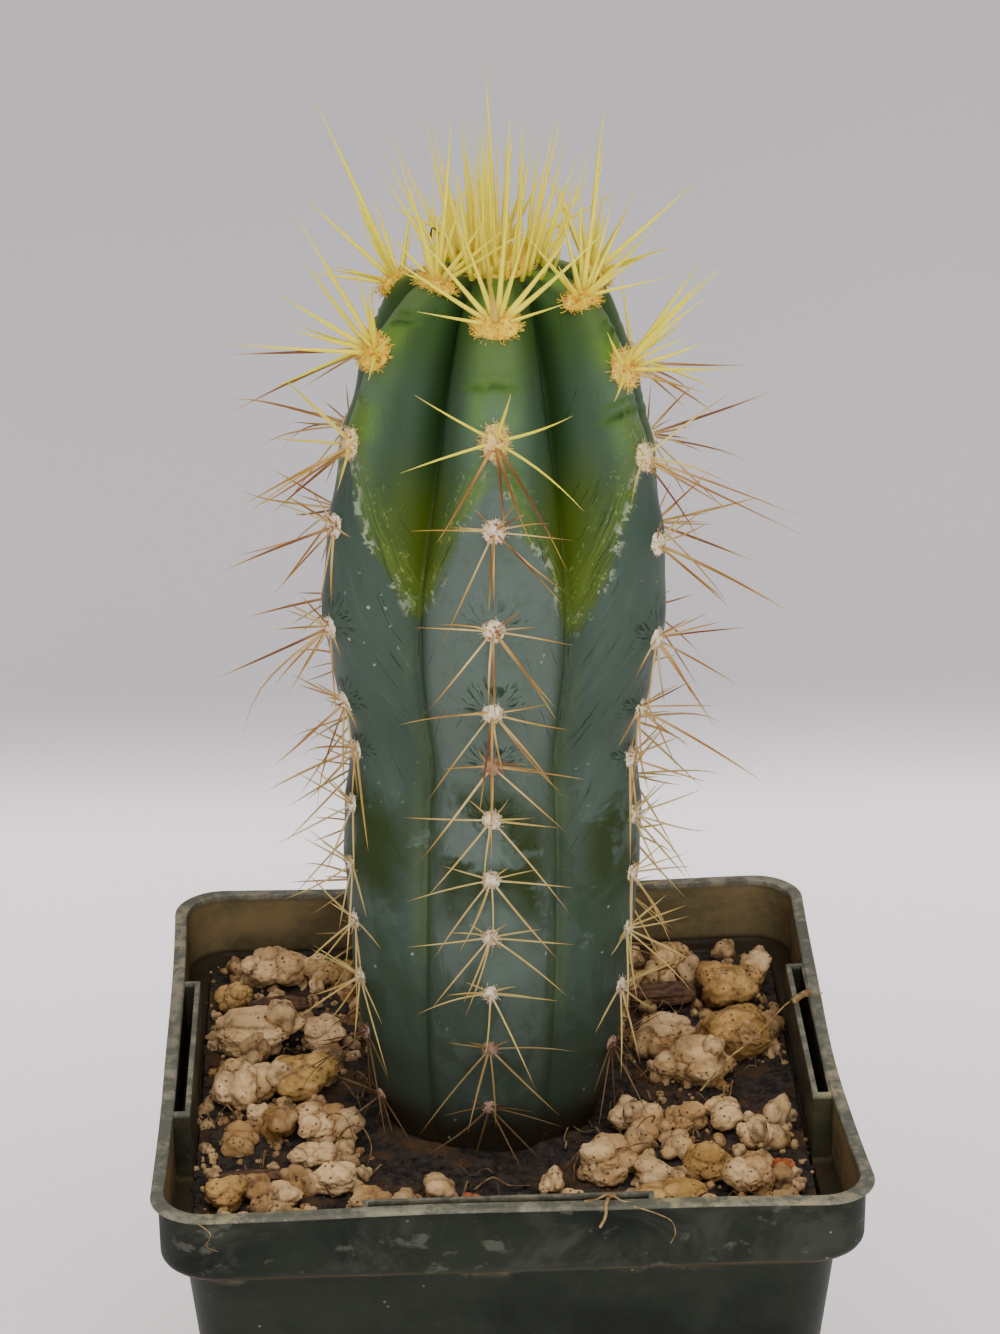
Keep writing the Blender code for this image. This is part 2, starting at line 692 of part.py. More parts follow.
def make_crown():
    """The woolly growing tip and its fan of young spines."""
    shape = bmesh.new()
    height, _ = crest(len(CREST_OUTLINE) - 2.0)
    base = axis_point(height) + Vector((0, 0, CLEARANCE))
    chooser = random.Random(SPINE_SEED)
    rings = []
    for share, level in CROWN_RINGS:
        ring = []
        for index in range(CROWN_SIDES):
            angle = 2 * math.pi * index / CROWN_SIDES
            reach = rib_direction(angle) * CROWN_RADIUS * share
            ring.append(shape.verts.new(base + reach + Vector((0, 0, CROWN_HEIGHT * level))))
        rings.append(ring)
    shape.faces.new(rings[0])
    for level, (lean, share) in enumerate(CROWN_FAN):
        lower, upper = rings[level + 1], rings[level + 2]
        for index in range(CROWN_SIDES):
            after = (index + 1) % CROWN_SIDES
            corners = [lower[index], lower[after], upper[after], upper[index]]
            if (index + level) % 2:
                shape.faces.new(corners)
                continue
            start = sum((corner.co for corner in corners), Vector()) / len(corners)
            angle = 2 * math.pi * (index + 0.5) / CROWN_SIDES
            tilt = lean * chooser.uniform(*CROWN_VARIATION)
            direction = rib_direction(angle) * math.sin(tilt) + Vector((0, 0, math.cos(tilt)))
            length = CROWN_SPINE * share * (1 + SPINE_SPREAD * chooser.uniform(-1, 1))
            tip = shape.verts.new(start + direction * length)
            for first, second in zip(corners, corners[1:] + corners[:1]):
                shape.faces.new((first, second, tip))
    bridge(shape, rings[0], rings[1])
    tip = shape.verts.new(base + Vector((0, 0, CROWN_HEIGHT + CROWN_SPINE)))
    for index in range(CROWN_SIDES):
        shape.faces.new((rings[-1][index], rings[-1][(index + 1) % CROWN_SIDES], tip))
    return node_from("crown_spines", shape, "spines", smooth=False)


# --- the top dressing ---------------------------------------------------------------------
def stone_layout(x, y):
    """Where a stone lies between the stem and the wall, and the share of its size it keeps."""
    stem_reach = between(CREST_OUTLINE, 0.0) * STEM_RADIUS
    room = (BODY_TOP_HALF - WALL - stem_reach) / STONE_ROOM
    outwards = max(abs(x), abs(y))
    moved = stem_reach + (outwards - (STONE_FIELD - STONE_ROOM)) * room
    return x * moved / outwards, y * moved / outwards, min(1.0, room)


def make_stone(index, entry, chooser):
    """One lump, bedded flat on the soil."""
    x, y, length, breadth, height, turn, finish = entry
    x, y, share = stone_layout(x * MM, y * MM)
    scale = share * MM
    shape = bmesh.new()
    detail = 2 if max(length, breadth) > SMALL_STONE else 1
    bmesh.ops.create_icosphere(shape, subdivisions=detail, radius=0.5)
    offset = Vector([chooser.uniform(-NOISE_SPAN, NOISE_SPAN) for _ in range(3)])
    for vert in shape.verts:
        lump = noise.noise(vert.co * STONE_GRAIN + offset) * STONE_ROUGHNESS
        vert.co *= 1 + lump
    size = Matrix.Diagonal((length * scale, breadth * scale, height * scale, 1.0))
    bmesh.ops.transform(shape, verts=shape.verts, matrix=size)
    bmesh.ops.rotate(shape, verts=shape.verts, matrix=Matrix.Rotation(math.radians(turn), 3, "Z"))
    bed = soil_height(x, y) + CLEARANCE
    lift = Vector((x, y, bed + height * scale * (0.5 - STONE_SINK)))
    for vert in shape.verts:
        vert.co += lift
        vert.co.z = max(vert.co.z, soil_height(vert.co.x, vert.co.y) + CLEARANCE)
    kind = "bark_chip" if finish == "bark" else "stone"
    return node_from(f"{kind}_{index + 1:02d}", shape, finish)


def make_top_dressing():
    """Pumice and lava lumps and bark chips over the soil."""
    chooser = random.Random(STONE_SEED)
    for index, entry in enumerate(STONES):
        make_stone(index, entry, chooser)


def clear_scene():
    """Removes whatever the scene holds."""
    for old in list(bpy.data.objects):
        bpy.data.objects.remove(old, do_unlink=True)


def main():
    """Builds every node."""
    clear_scene()
    make_pot()
    make_soil()
    make_stem()
    for rib in range(RIB_COUNT):
        make_rib_spines(rib)
    make_crown()
    make_top_dressing()


main()
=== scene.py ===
"""Looks for a ribbed columnar cactus in a square nursery pot, laid out as a Blender add-on.

Metres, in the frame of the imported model: origin in the middle of the pot's base, +Z up,
front rib towards -Y. Run as a script; it is never installed.
"""

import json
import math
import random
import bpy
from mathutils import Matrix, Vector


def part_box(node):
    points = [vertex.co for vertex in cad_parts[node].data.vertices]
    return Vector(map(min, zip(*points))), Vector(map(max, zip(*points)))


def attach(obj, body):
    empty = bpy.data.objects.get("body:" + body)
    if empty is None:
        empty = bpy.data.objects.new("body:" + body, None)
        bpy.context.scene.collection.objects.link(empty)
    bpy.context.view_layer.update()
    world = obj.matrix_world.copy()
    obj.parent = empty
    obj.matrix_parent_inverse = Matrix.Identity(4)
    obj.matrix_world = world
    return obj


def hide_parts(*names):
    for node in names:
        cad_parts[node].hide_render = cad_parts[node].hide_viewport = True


bl_info = {
    "name": "Potted Columnar Cactus",
    "version": (1, 0, 0),
    "blender": (4, 5, 0),
    "location": "3D View > Sidebar > Cactus",
    "description": "Builds a spiny ribbed cactus, its square pot, soil and pumice dressing",
    "category": "Add Mesh",
}

import bmesh
import bpy
import numpy as np
from bpy.props import FloatProperty, FloatVectorProperty, IntProperty, PointerProperty
from mathutils import Matrix, Vector, noise

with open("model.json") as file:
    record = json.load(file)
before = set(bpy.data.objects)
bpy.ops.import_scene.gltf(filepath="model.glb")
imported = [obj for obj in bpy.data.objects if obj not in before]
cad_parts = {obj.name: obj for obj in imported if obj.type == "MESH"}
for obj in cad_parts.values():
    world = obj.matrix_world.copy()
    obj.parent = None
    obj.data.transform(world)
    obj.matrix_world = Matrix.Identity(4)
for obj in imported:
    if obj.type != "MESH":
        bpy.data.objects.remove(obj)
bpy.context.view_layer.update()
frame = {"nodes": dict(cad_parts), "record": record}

MM = 0.001
BODY = "root"

# --- shape of the stem, as the solid model has it -------------------------------------------
# Crest outline from the soil up: share of the height, share of the radius.
CREST_OUTLINE = (
    (0.000, 0.615),
    (0.050, 0.705),
    (0.110, 0.770),
    (0.190, 0.822),
    (0.290, 0.860),
    (0.380, 0.876),
    (0.440, 0.858),
    (0.485, 0.843),
    (0.530, 0.893),
    (0.580, 0.955),
    (0.640, 1.000),
    (0.700, 0.990),
    (0.770, 0.945),
    (0.840, 0.865),
    (0.900, 0.785),
    (0.945, 0.690),
    (0.975, 0.560),
    (0.993, 0.400),
    (1.000, 0.220),
    (0.994, 0.080),
)
# Groove floor as a share of the crest radius: share of the height, share of the radius.
GROOVE_DEPTH = (
    (-0.040, 1.00),
    (0.020, 0.93),
    (0.080, 0.88),
    (0.210, 0.83),
    (0.340, 0.78),
    (0.470, 0.75),
    (0.600, 0.76),
    (0.690, 0.72),
    (0.780, 0.64),
    (0.880, 0.59),
    (0.940, 0.53),
    (0.975, 0.55),
    (0.993, 0.68),
    (1.000, 0.95),
)
# Heights of the areoles down the first rib, as shares of the stem's height.
TIER_HEIGHTS = (
    0.995,
    0.932,
    0.836,
    0.748,
    0.634,
    0.543,
    0.483,
    0.418,
    0.346,
    0.276,
    0.204,
    0.131,
    0.045,
)
RIB_PHASES = (0.68, 0.20, 0.69, 0.20, 0.50, 0.00)
RIB_COUNT = len(RIB_PHASES)
LOWEST_TIER = 0.040
# A rib whose first areole starts late carries it higher on the shoulder, by a share of the height.
LATE_START = 0.6
LATE_LIFT = 0.022


# --- sizes and colours that a user would change ---------------------------------------------
def length(name, default, description):
    """A length property in metres."""
    return FloatProperty(
        name=name,
        default=default,
        description=description,
        unit="LENGTH",
        subtype="DISTANCE",
        precision=5,
        min=-10.0,
        max=10.0,
    )


def share(name, default, description):
    """A plain number."""
    return FloatProperty(name=name, default=default, description=description, precision=4)


def number(name, default, description):
    """A whole number."""
    return IntProperty(name=name, default=default, description=description)


def angle(name, degrees, description):
    """An angle, given in degrees."""
    return FloatProperty(
        name=name, default=math.radians(degrees), description=description, subtype="ANGLE"
    )


def colour(name, default, description):
    """A linear colour property."""
    return FloatVectorProperty(
        name=name,
        default=default,
        description=description,
        subtype="COLOR",
        size=3,
        min=0.0,
        max=1.0,
    )


POT_LOW, POT_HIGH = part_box("pot")
SOIL_LOW, SOIL_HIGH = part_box("soil")


class CactusPotSettings(bpy.types.PropertyGroup):
    """The square nursery pot."""

    height: length("Height", POT_HIGH.z, "From the surface to the lip")
    lip_width: length("Lip width", POT_HIGH.x - POT_LOW.x, "Across the flats of the lip")
    lip_overhang: length("Lip overhang", 0.9 * MM, "Flange past the collar")
    lip_thickness: length("Lip thickness", 0.7 * MM, "Depth of the flange")
    band_height: length("Collar height", 10.5 * MM, "Of the widened top")
    band_step: length("Collar step", 2.9 * MM, "How far the collar stands out from the body")
    band_round: length("Collar rounding", 2.4 * MM, "Of the collar's lower edge")
    wall: length("Wall", 0.8 * MM, "Thickness of the plastic")
    floor: length("Floor", 1.0 * MM, "Thickness of the base")
    taper: share("Taper", 0.096, "Inward run of each side for each unit of depth")
    corner: length("Corner radius", 6.5 * MM, "Of the upright edges")
    bow: length("Side bow", 0.6 * MM, "How far each side is drawn in at the top")
    sway: length("Sway", 0.9 * MM, "How far the soft front is pushed aside")
    splay: share("Splay", 0.012, "Share by which the soft front is wider")
    base_edge: length("Base rounding", 1.5 * MM, "Where the sides meet the base")
    pocket_length: length("Pocket length", 35.0 * MM, "Of the label pocket in each side")
    pocket_tab: length("Pocket tab", 0.7 * MM, "Thickness of the pocket's inner wall")
    pocket_drop: length("Pocket drop", 0.3 * MM, "Tab top below the rim")
    drain_radius: length("Drain radius", 3.0 * MM, "Of the holes in the base")
    drain_inset: length("Drain inset", 11.0 * MM, "Hole centres in from the base's flats")
    plastic: colour("Plastic", (0.0075, 0.0100, 0.0070), "Clean plastic")
    dust: colour("Dust", (0.048, 0.051, 0.040), "Dry hard-water film and scuffs")
    loam: colour("Loam stain", (0.230, 0.160, 0.072), "Soil stain inside the rim")


class CactusStemSettings(bpy.types.PropertyGroup):
    """The ribbed stem."""

    height: length("Height", 117.3 * MM, "From the soil to the shoulder of the crown")
    radius: length("Radius", 23.7 * MM, "To a rib's crest at the widest")
    buried: length("Buried", 11.5 * MM, "Depth of the base under the soil")
    soil_level: length("Soil level", POT_HIGH.z - 9.6 * MM, "Height of the soil's edge")
    offset: length("Offset", -1.1 * MM, "Of the stem's foot along X")
    lean: share("Lean", 0.0245, "Sideways run for each unit of height")
    turn: angle("Turn", -2.5, "Of the front rib away from -Y")
    sharpness: share("Groove sharpness", 0.72, "Below 1 the crests are round")
    around: number("Around", 240, "Faces round the stem")
    rings: number("Rings", 340, "Faces up the stem")
    swell: length("Swell", 0.55 * MM, "Rise of the crest between two areoles")
    fold: length("Fold", 0.35 * MM, "Depth of the creases over the young areoles")
    young: colour("Young green", (0.115, 0.225, 0.026), "Crests of the newest growth")
    # The flank green holds painted shade as well as the flanks' own green, and the bloom holds
    # painted light on the crests as well as wax
    flank: colour("Flank green", (0.038, 0.070, 0.037), "Sides of the young ribs")
    bloom: colour("Bloom", (0.125, 0.205, 0.122), "Thin wax on the young crests")
    groove: colour("Groove olive", (0.054, 0.084, 0.007), "Unwaxed skin by the grooves")
    wax: colour("Wax", (0.060, 0.088, 0.069), "Blue-grey bloom of the older skin")
    deep: colour("Deep green", (0.022, 0.036, 0.005), "Bare dark patches")
    crust: colour("Crust", (0.340, 0.380, 0.260), "Flaked edges of the wax")


class CactusSpineSettings(bpy.types.PropertyGroup):
    """Needles and wool."""

    sides: number("Sides", 6, "Faces round a spine")
    steps: number("Steps", 7, "Faces along a spine")
    girth: length("Girth", 0.145 * MM, "Radius of an old spine at its root")
    young_girth: length("Young girth", 0.27 * MM, "Radius of a young spine at its root")
    tuft: number("Tuft", 72, "Spines standing on the crown")
    hairs: number("Hairs", 90, "Wool hairs of an old pad")
    young_hairs: number("Young hairs", 330, "Hairs of a young pad")
    yellow: colour("Young spine", (1.000, 0.830, 0.035), "Newest spines")
    amber: colour("Middle spine", (0.300, 0.120, 0.016), "Spines of the middle tiers")
    straw: colour("Old spine", (0.580, 0.440, 0.150), "Lowest spines")
    felt: colour("Young wool", (0.960, 0.560, 0.015), "Wool of the newest areoles")
    grey: colour("Old wool", (0.860, 0.740, 0.560), "Wool of the older areoles")


class CactusSoilSettings(bpy.types.PropertyGroup):
    """Soil, stones and litter."""

    mound: length("Mound", 0.5 * MM, "Rise of the soil beside the stem")
    fill: number("Fill", 230, "Small lumps between the big ones")
    swell: share("Swell", 1.26, "How much the stones outgrow their solids")
    grit: number("Grit", 1100, "Pumice crumbs strewn on the soil")
    crumbs: number("Crumbs", 2600, "Soil crumbs")
    fibres: number("Fibres", 70, "Root fibres on the soil")
    loam: colour("Loam", (0.056, 0.043, 0.034), "Damp compost")
    pumice: colour("Pumice", (0.620, 0.410, 0.200), "Pale lumps")
    ochre: colour("Ochre", (0.500, 0.290, 0.085), "Yellow-brown lumps")
    lava: colour("Lava", (0.460, 0.110, 0.030), "Red bits")
    bark: colour("Bark", (0.170, 0.085, 0.045), "Bark slivers")
    root: colour("Root", (0.330, 0.200, 0.090), "Dry roots and straw")


class CactusStageSettings(bpy.types.PropertyGroup):
    """Floor, backdrop, lights and camera."""

    lens: share("Lens", 105.63, "Focal length in millimetres for a 36 mm frame height")
    pitch: angle("Pitch", 23.721, "How far the camera looks down")
    yaw: angle("Yaw", 1.479, "Camera turn about the vertical")
    roll: angle("Roll", -0.987, "Camera tilt about its own axis")
    distance: length("Distance", 525.74 * MM, "From the camera to the middle of the lip")
    shift_right: length("Right", 0.32 * MM, "Camera moved to its right")
    shift_up: length("Up", 49.31 * MM, "Camera moved up its own axis")
    backdrop: length("Backdrop", 255.0 * MM, "Start of the backdrop's curve behind the pot")
    floor: colour("Floor", (0.850, 0.800, 0.790), "Pale floor")
    wall: colour("Wall", (0.520, 0.490, 0.505), "Grey backdrop")
    # The floor and wall glows are painted light, not lamps
    floor_painted_light: share("Floor glow", 0.50, "Light that shines through the floor")
    wall_painted_light: share("Wall glow", 0.46, "Light that shines through the backdrop")
    key: share("Key light", 5.4, "Watts of the overhead softbox")
    front: share("Front light", 3.7, "Watts of the softbox by the camera")
    fill: share("Fill light", 1.4, "Watts of each side softbox")
    room: share("Room light", 0.26, "Strength of the light from all around")


# --- small helpers ------------------------------------------------------------------------
def between(table, at):
    """Linear reading of a table of (place, value) pairs."""
    return float(np.interp(at, [row[0] for row in table], [row[1] for row in table]))


def smooth_point(points, at):
    """Catmull-Rom reading of a list of tuples, at a place counted in points."""
    last = len(points) - 1
    index = min(int(at), last - 1)
    part = at - index
    a, b, c, d = (np.array(points[max(0, min(last, index + step))]) for step in (-1, 0, 1, 2))
    slope_in = (c - a) / 2
    slope_out = (d - b) / 2
    cubic = 2 * (b - c) + slope_in + slope_out
    square = 3 * (c - b) - 2 * slope_in - slope_out
    return ((cubic * part + square) * part + slope_in) * part + b


def link(made):
    """Puts an object in the scene."""
    bpy.context.scene.collection.objects.link(made)
    return made


def mesh_object(name, shape, smooth_angle=None):
    """An object from a bmesh, faces out."""
    bmesh.ops.recalc_face_normals(shape, faces=shape.faces)
    mesh = bpy.data.meshes.new(name)
    shape.to_mesh(mesh)
    shape.free()
    mesh.shade_smooth()
    if smooth_angle is not None:
        mesh.set_sharp_from_angle(angle=smooth_angle)
    return link(bpy.data.objects.new(name, mesh))


def settle(name, source):
    """The evaluated shape of an object as a plain mesh object; the source is removed."""
    graph = bpy.context.evaluated_depsgraph_get()
    mesh = bpy.data.meshes.new_from_object(source.evaluated_get(graph), depsgraph=graph)
    mesh.name = name
    bpy.data.objects.remove(source, do_unlink=True)
    return link(bpy.data.objects.new(name, mesh))


def point_cloud(name, positions, attributes):
    """A mesh of loose vertices carrying named attributes: (name, kind, values)."""
    mesh = bpy.data.meshes.new(name)
    mesh.from_pydata([tuple(place) for place in positions], [], [])
    for label, kind, values in attributes:
        layer = mesh.attributes.new(label, kind, "POINT")
        field = "vector" if kind == "FLOAT_VECTOR" else "value"
        layer.data.foreach_set(field, np.asarray(values, np.float32).ravel())
    return link(bpy.data.objects.new(name, mesh))


def keep_attributes(made, wanted):
    """Drops every other attribute that a node tree left on a finished mesh."""
    for layer in list(made.data.attributes):
        if layer.name in wanted or layer.is_required or layer.is_internal:
            continue
        if layer.name not in {"position", "sharp_face", "sharp_edge", "material_index"}:
            made.data.attributes.remove(layer)


def finish_piece(piece, material, nodes=()):
    """Gives a piece its material and its body, and hides the nodes it stands for."""
    piece.data.materials.clear()
    piece.data.materials.append(material)
    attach(piece, BODY)
    if nodes:
        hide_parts(*nodes)


class Value:
    """A node's output, which sums, products and powers can be made of."""

    def __init__(self, graph, socket):
        self.graph = graph
        self.socket = socket


def calculation(operation, swapped):
    """The method of Value that adds a Math node."""

    def method(value, other):
        values = (other, value) if swapped else (value, other)
        return value.graph.math(operation, *values)

    return method


for sign in ("add ADD", "sub SUBTRACT", "mul MULTIPLY", "truediv DIVIDE", "pow POWER"):
    short, operation = sign.split()
    setattr(Value, f"__{short}__", calculation(operation, False))
    setattr(Value, f"__r{short}__", calculation(operation, True))


class Graph:
    """Adds nodes to a tree. An input given as an output or a node is linked, a value is set."""

    def __init__(self, tree):
        self.tree = tree

    def add(self, kind, *values, settings=None, named=None):
        """A node with its inputs in order, its settings and its inputs by name."""
        made = self.tree.nodes.new(kind)
        for name, value in (settings or {}).items():
            setattr(made, name, value)
        for socket, value in zip(made.inputs, values):
            self.put(socket, value)
        for name, value in (named or {}).items():
            self.put(made.inputs[name], value)
        return made

    def put(self, socket, value):
        """Links or sets one input."""
        if value is None:
            return
        if isinstance(value, Value):
            value = value.socket
        if isinstance(value, bpy.types.Node):
            value = value.outputs[0]
        if isinstance(value, bpy.types.NodeSocket):
            self.tree.links.new(value, socket)
        elif socket.type == "RGBA" and len(value) == 3:
            socket.default_value = (*value, 1.0)
        else:
            socket.default_value = value

    def value(self, kind, *values, settings=None, named=None, output=0):
        """One output of a new node."""
        made = self.add(kind, *values, settings=settings, named=named)
        return Value(self, made.outputs[output])

    def math(self, operation, *values, clamp=False):
        """A Math node."""
        settings = {"operation": operation, "use_clamp": clamp}
        return self.value("ShaderNodeMath", *values, settings=settings)

    def split(self, vector):
        """The three numbers of a vector."""
        made = self.add("ShaderNodeSeparateXYZ", vector)
        return [Value(self, socket) for socket in made.outputs]

    def vector(self, operation, *values):
        """A Vector Math node."""
        made = self.add("ShaderNodeVectorMath", settings={"operation": operation})
        for socket, value in zip(made.inputs, values):
            self.put(socket, value)
        if operation == "SCALE":
            self.put(made.inputs["Scale"], values[-1])
        return Value(self, made.outputs[operation == "LENGTH"])

    def xyz(self, x, y, z):
        """A vector from three numbers."""
        return self.value("ShaderNodeCombineXYZ", x, y, z)

    def ramp(self, value, low, high):
        """A smooth step from 0 at low to 1 at high, which may be the lesser one."""
        settings = {"interpolation_type": "SMOOTHSTEP", "clamp": True}
        return self.value("ShaderNodeMapRange", value, low, high, settings=settings)

    def mix(self, factor, first, second):
        """A colour mix."""
        made = self.add("ShaderNodeMix", settings={"data_type": "RGBA"})
        self.put(made.inputs[0], factor)
        self.put(made.inputs[6], first)
        self.put(made.inputs[7], second)
        return Value(self, made.outputs[2])

    def window(self, value, start, full, fade, end):
        """1 between full and fade, falling smoothly to 0 at start and end."""
        return self.ramp(value, start, full) * self.ramp(value, end, fade)

    def noise(self, where, scale, detail=2.0, roughness=0.5, distortion=0.0):
        """Noise between 0 and 1."""
        named = {"Scale": scale, "Detail": detail, "Roughness": roughness, "Distortion": distortion}
        return self.value("ShaderNodeTexNoise", named={"Vector": where, **named})

    def stretched(self, factors, scale, *rest):
        """Noise on the object's coordinates times the factors."""
        return self.noise(self.vector("MULTIPLY", self.place, factors), scale, *rest)

    def cells(self, where, scale):
        """Distance to the middle of the nearest Voronoi cell."""
        return self.value("ShaderNodeTexVoronoi", named={"Vector": where, "Scale": scale})


class Shader(Graph):
    """A Principled material under construction."""

    def __init__(self, name, roughness=0.6, specular=0.5):
        self.material = bpy.data.materials.new(name)
        self.material.use_nodes = True
        super().__init__(self.material.node_tree)
        self.principled = self.tree.nodes["Principled BSDF"]
        self.principled.inputs["Roughness"].default_value = roughness
        self.principled.inputs["Specular IOR Level"].default_value = specular
        self.place = self.add("ShaderNodeTexCoord").outputs["Object"]

    def attribute(self, name):
        """A value stored on the mesh."""
        return self.value("ShaderNodeAttribute", settings={"attribute_name": name}, output="Fac")

    def bump(self, height, distance):
        """A full-strength bump."""
        named = {"Strength": 1.0, "Distance": distance, "Height": height}
        return self.value("ShaderNodeBump", named=named)

    def done(self, base=None, roughness=None, normal=None):
        """Wires the shader and returns the material."""
        self.put(self.principled.inputs["Base Color"], base)
        self.put(self.principled.inputs["Roughness"], roughness)
        self.put(self.principled.inputs["Normal"], normal)
        return self.material


class Field(Graph):
    """A Geometry Nodes tree under construction."""

    def __init__(self, name):
        tree = bpy.data.node_groups.new(name, "GeometryNodeTree")
        super().__init__(tree)
        tree.interface.new_socket("Geometry", in_out="INPUT", socket_type="NodeSocketGeometry")
        tree.interface.new_socket("Geometry", in_out="OUTPUT", socket_type="NodeSocketGeometry")
        self.source = tree.nodes.new("NodeGroupInput")
        self.sink = tree.nodes.new("NodeGroupOutput")

    def input(self, name, kind):
        """A named input of the tree."""
        socket_type = "NodeSocket" + kind
        self.tree.interface.new_socket(name, in_out="INPUT", socket_type=socket_type)
        return Value(self, self.source.outputs[name])

    def inputs(self, kind, *names):
        """Several named inputs of one kind."""
        return [self.input(name, kind) for name in names]

    def named(self, name, kind="FLOAT"):
        """A named attribute of the geometry."""
        settings = {"data_type": kind}
        return self.value("GeometryNodeInputNamedAttribute", name, settings=settings)

    def arrow(self, name):
        """A named attribute that holds vectors."""
        return self.named(name, "FLOAT_VECTOR")

    def store(self, geometry, name, value, domain="POINT"):
        """Stores a named number."""
        named = {"Geometry": geometry, "Name": name, "Value": value}
        settings = {"data_type": "FLOAT", "domain": domain}
        return self.value("GeometryNodeStoreNamedAttribute", settings=settings, named=named)

    def upright_on(self, direction):
        """A rotation that turns Z to a direction."""
        kind = "FunctionNodeAlignRotationToVector"
        return self.value(kind, settings={"axis": "Z"}, named={"Vector": direction})

    def on_points(self, points, instance, rotation, scale, pick=False):
        """One instance on each point."""
        named = {"Points": points, "Instance": instance, "Rotation": rotation, "Scale": scale}
        named["Pick Instance"] = pick
        return self.add("GeometryNodeInstanceOnPoints", named=named)

    def strewn(self, density, seed):
        """Points strewn at random over the source's faces."""
        made = self.add(
            "GeometryNodeDistributePointsOnFaces", settings={"distribute_method": "RANDOM"}
        )
        self.put(made.inputs["Mesh"], self.source.outputs[0])
        self.put(made.inputs["Density"], density)
        self.put(made.inputs["Seed"], seed)
        return made

    def random(self, low, high, seed, kind="FLOAT"):
        """A random value with a fixed seed."""
        made = self.add("FunctionNodeRandomValue", settings={"data_type": kind})
        sockets = [s for s in made.inputs if s.enabled]
        self.put(sockets[0], low)
        self.put(sockets[1], high)
        made.inputs["Seed"].default_value = seed
        return Value(self, next(s for s in made.outputs if s.enabled))

    def end(self, geometry):
        """Smooths and realises the shape, sets the material and closes the tree."""
        material = self.input("Material", "Material")
        smooth = self.add("GeometryNodeSetShadeSmooth", geometry)
        real = self.add("GeometryNodeRealizeInstances", smooth)
        named = {"Geometry": real, "Material": material}
        self.put(self.sink.inputs[0], self.add("GeometryNodeSetMaterial", named=named))
        return self.tree


def run_field(name, source, tree, values):
    """Runs a tree on an object with inputs by name and returns the plain result."""
    modifier = source.modifiers.new("field", "NODES")
    modifier.node_group = tree
    for item in tree.interface.items_tree:
        if item.item_type == "SOCKET" and item.in_out == "INPUT" and item.name in values:
            modifier[item.identifier] = values[item.name]
    return settle(name, source)


# --- the stem's geometry --------------------------------------------------------------------
class StemForm:
    """Where the stem's skin, ribs and areoles are."""

    def __init__(self, settings):
        self.soil = settings.soil_level
        for name in ("height", "radius", "offset", "lean", "turn"):
            setattr(self, name, getattr(settings, name))

    def crest(self, place):
        """Height over the soil and radius of a crest, at a place counted in outline points."""
        level, reach = smooth_point(CREST_OUTLINE, place)
        return level * self.height, reach * self.radius

    def crest_place(self, level):
        """The place along the outline where the crest passes a share of the height."""
        low, high = 0.0, len(CREST_OUTLINE) - 2.0
        for _ in range(30):
            middle = (low + high) / 2
            if self.crest(middle)[0] < level * self.height:
                low = middle
            else:
                high = middle
        return low

    def axis(self, height):
        """A point of the axis, at a height over the soil."""
        return Vector((self.offset + self.lean * height, 0.0, self.soil + height))

    def outwards(self, angle):
        """Horizontal direction at an angle round the stem from the front."""
        return Vector((math.sin(angle), -math.cos(angle), 0.0))

    def rib_angle(self, rib):
        """Angle of a rib's crest."""
        return 2 * math.pi * rib / RIB_COUNT + self.turn

    def outline(self, buried, count):
        """Evenly spaced (radius, height) pairs of the crest from the buried base to the tip."""
        foot = CREST_OUTLINE[0][1] * self.radius
        rough = [
            (0.0, -buried),
            (foot * 0.30, -buried),
            (foot * 0.62, -buried * 0.86),
            (foot * 0.86, -buried * 0.45),
        ]
        last = len(CREST_OUTLINE) - 1
        for step in range(last * 24 + 1):
            level, reach = self.crest(step / 24)
            rough.append((reach, level))
        rough.append((0.0, rough[-1][1]))
        rough = np.array(rough)
        run = np.concatenate([[0], np.cumsum(np.linalg.norm(np.diff(rough, axis=0), axis=1))])
        even = np.linspace(0, run[-1], count)
        return np.stack([np.interp(even, run, rough[:, side]) for side in (0, 1)], axis=1)

    def tiers(self, rib):
        """(age in tiers, share of the height) of one rib's areoles, from the top down."""
        found = []
        for index in range(len(TIER_HEIGHTS)):
            place = index + RIB_PHASES[rib]
            if place > len(TIER_HEIGHTS) - 1:
                break
            level = float(np.interp(place, range(len(TIER_HEIGHTS)), TIER_HEIGHTS))
            if index == 0 and place > LATE_START:
                level += LATE_LIFT
            if level >= LOWEST_TIER:
                found.append((place, level))
        return found

    def areole(self, level, rib):
        """Place on a crest, with its across, up and outward directions."""
        out = self.outwards(self.rib_angle(rib))
        place = self.crest_place(level)
        height, reach = self.crest(place)
        above = self.crest(place + 0.05)
        below = self.crest(place - 0.05)
        up = (out * (above[1] - below[1]) + Vector((0, 0, above[0] - below[0]))).normalized()
        across = up.cross(out).normalized()
        normal = across.cross(up)
        if normal.dot(out + Vector((0, 0, 1))) < 0:
            normal.negate()
        return self.axis(height) + out * reach, across, up, normal


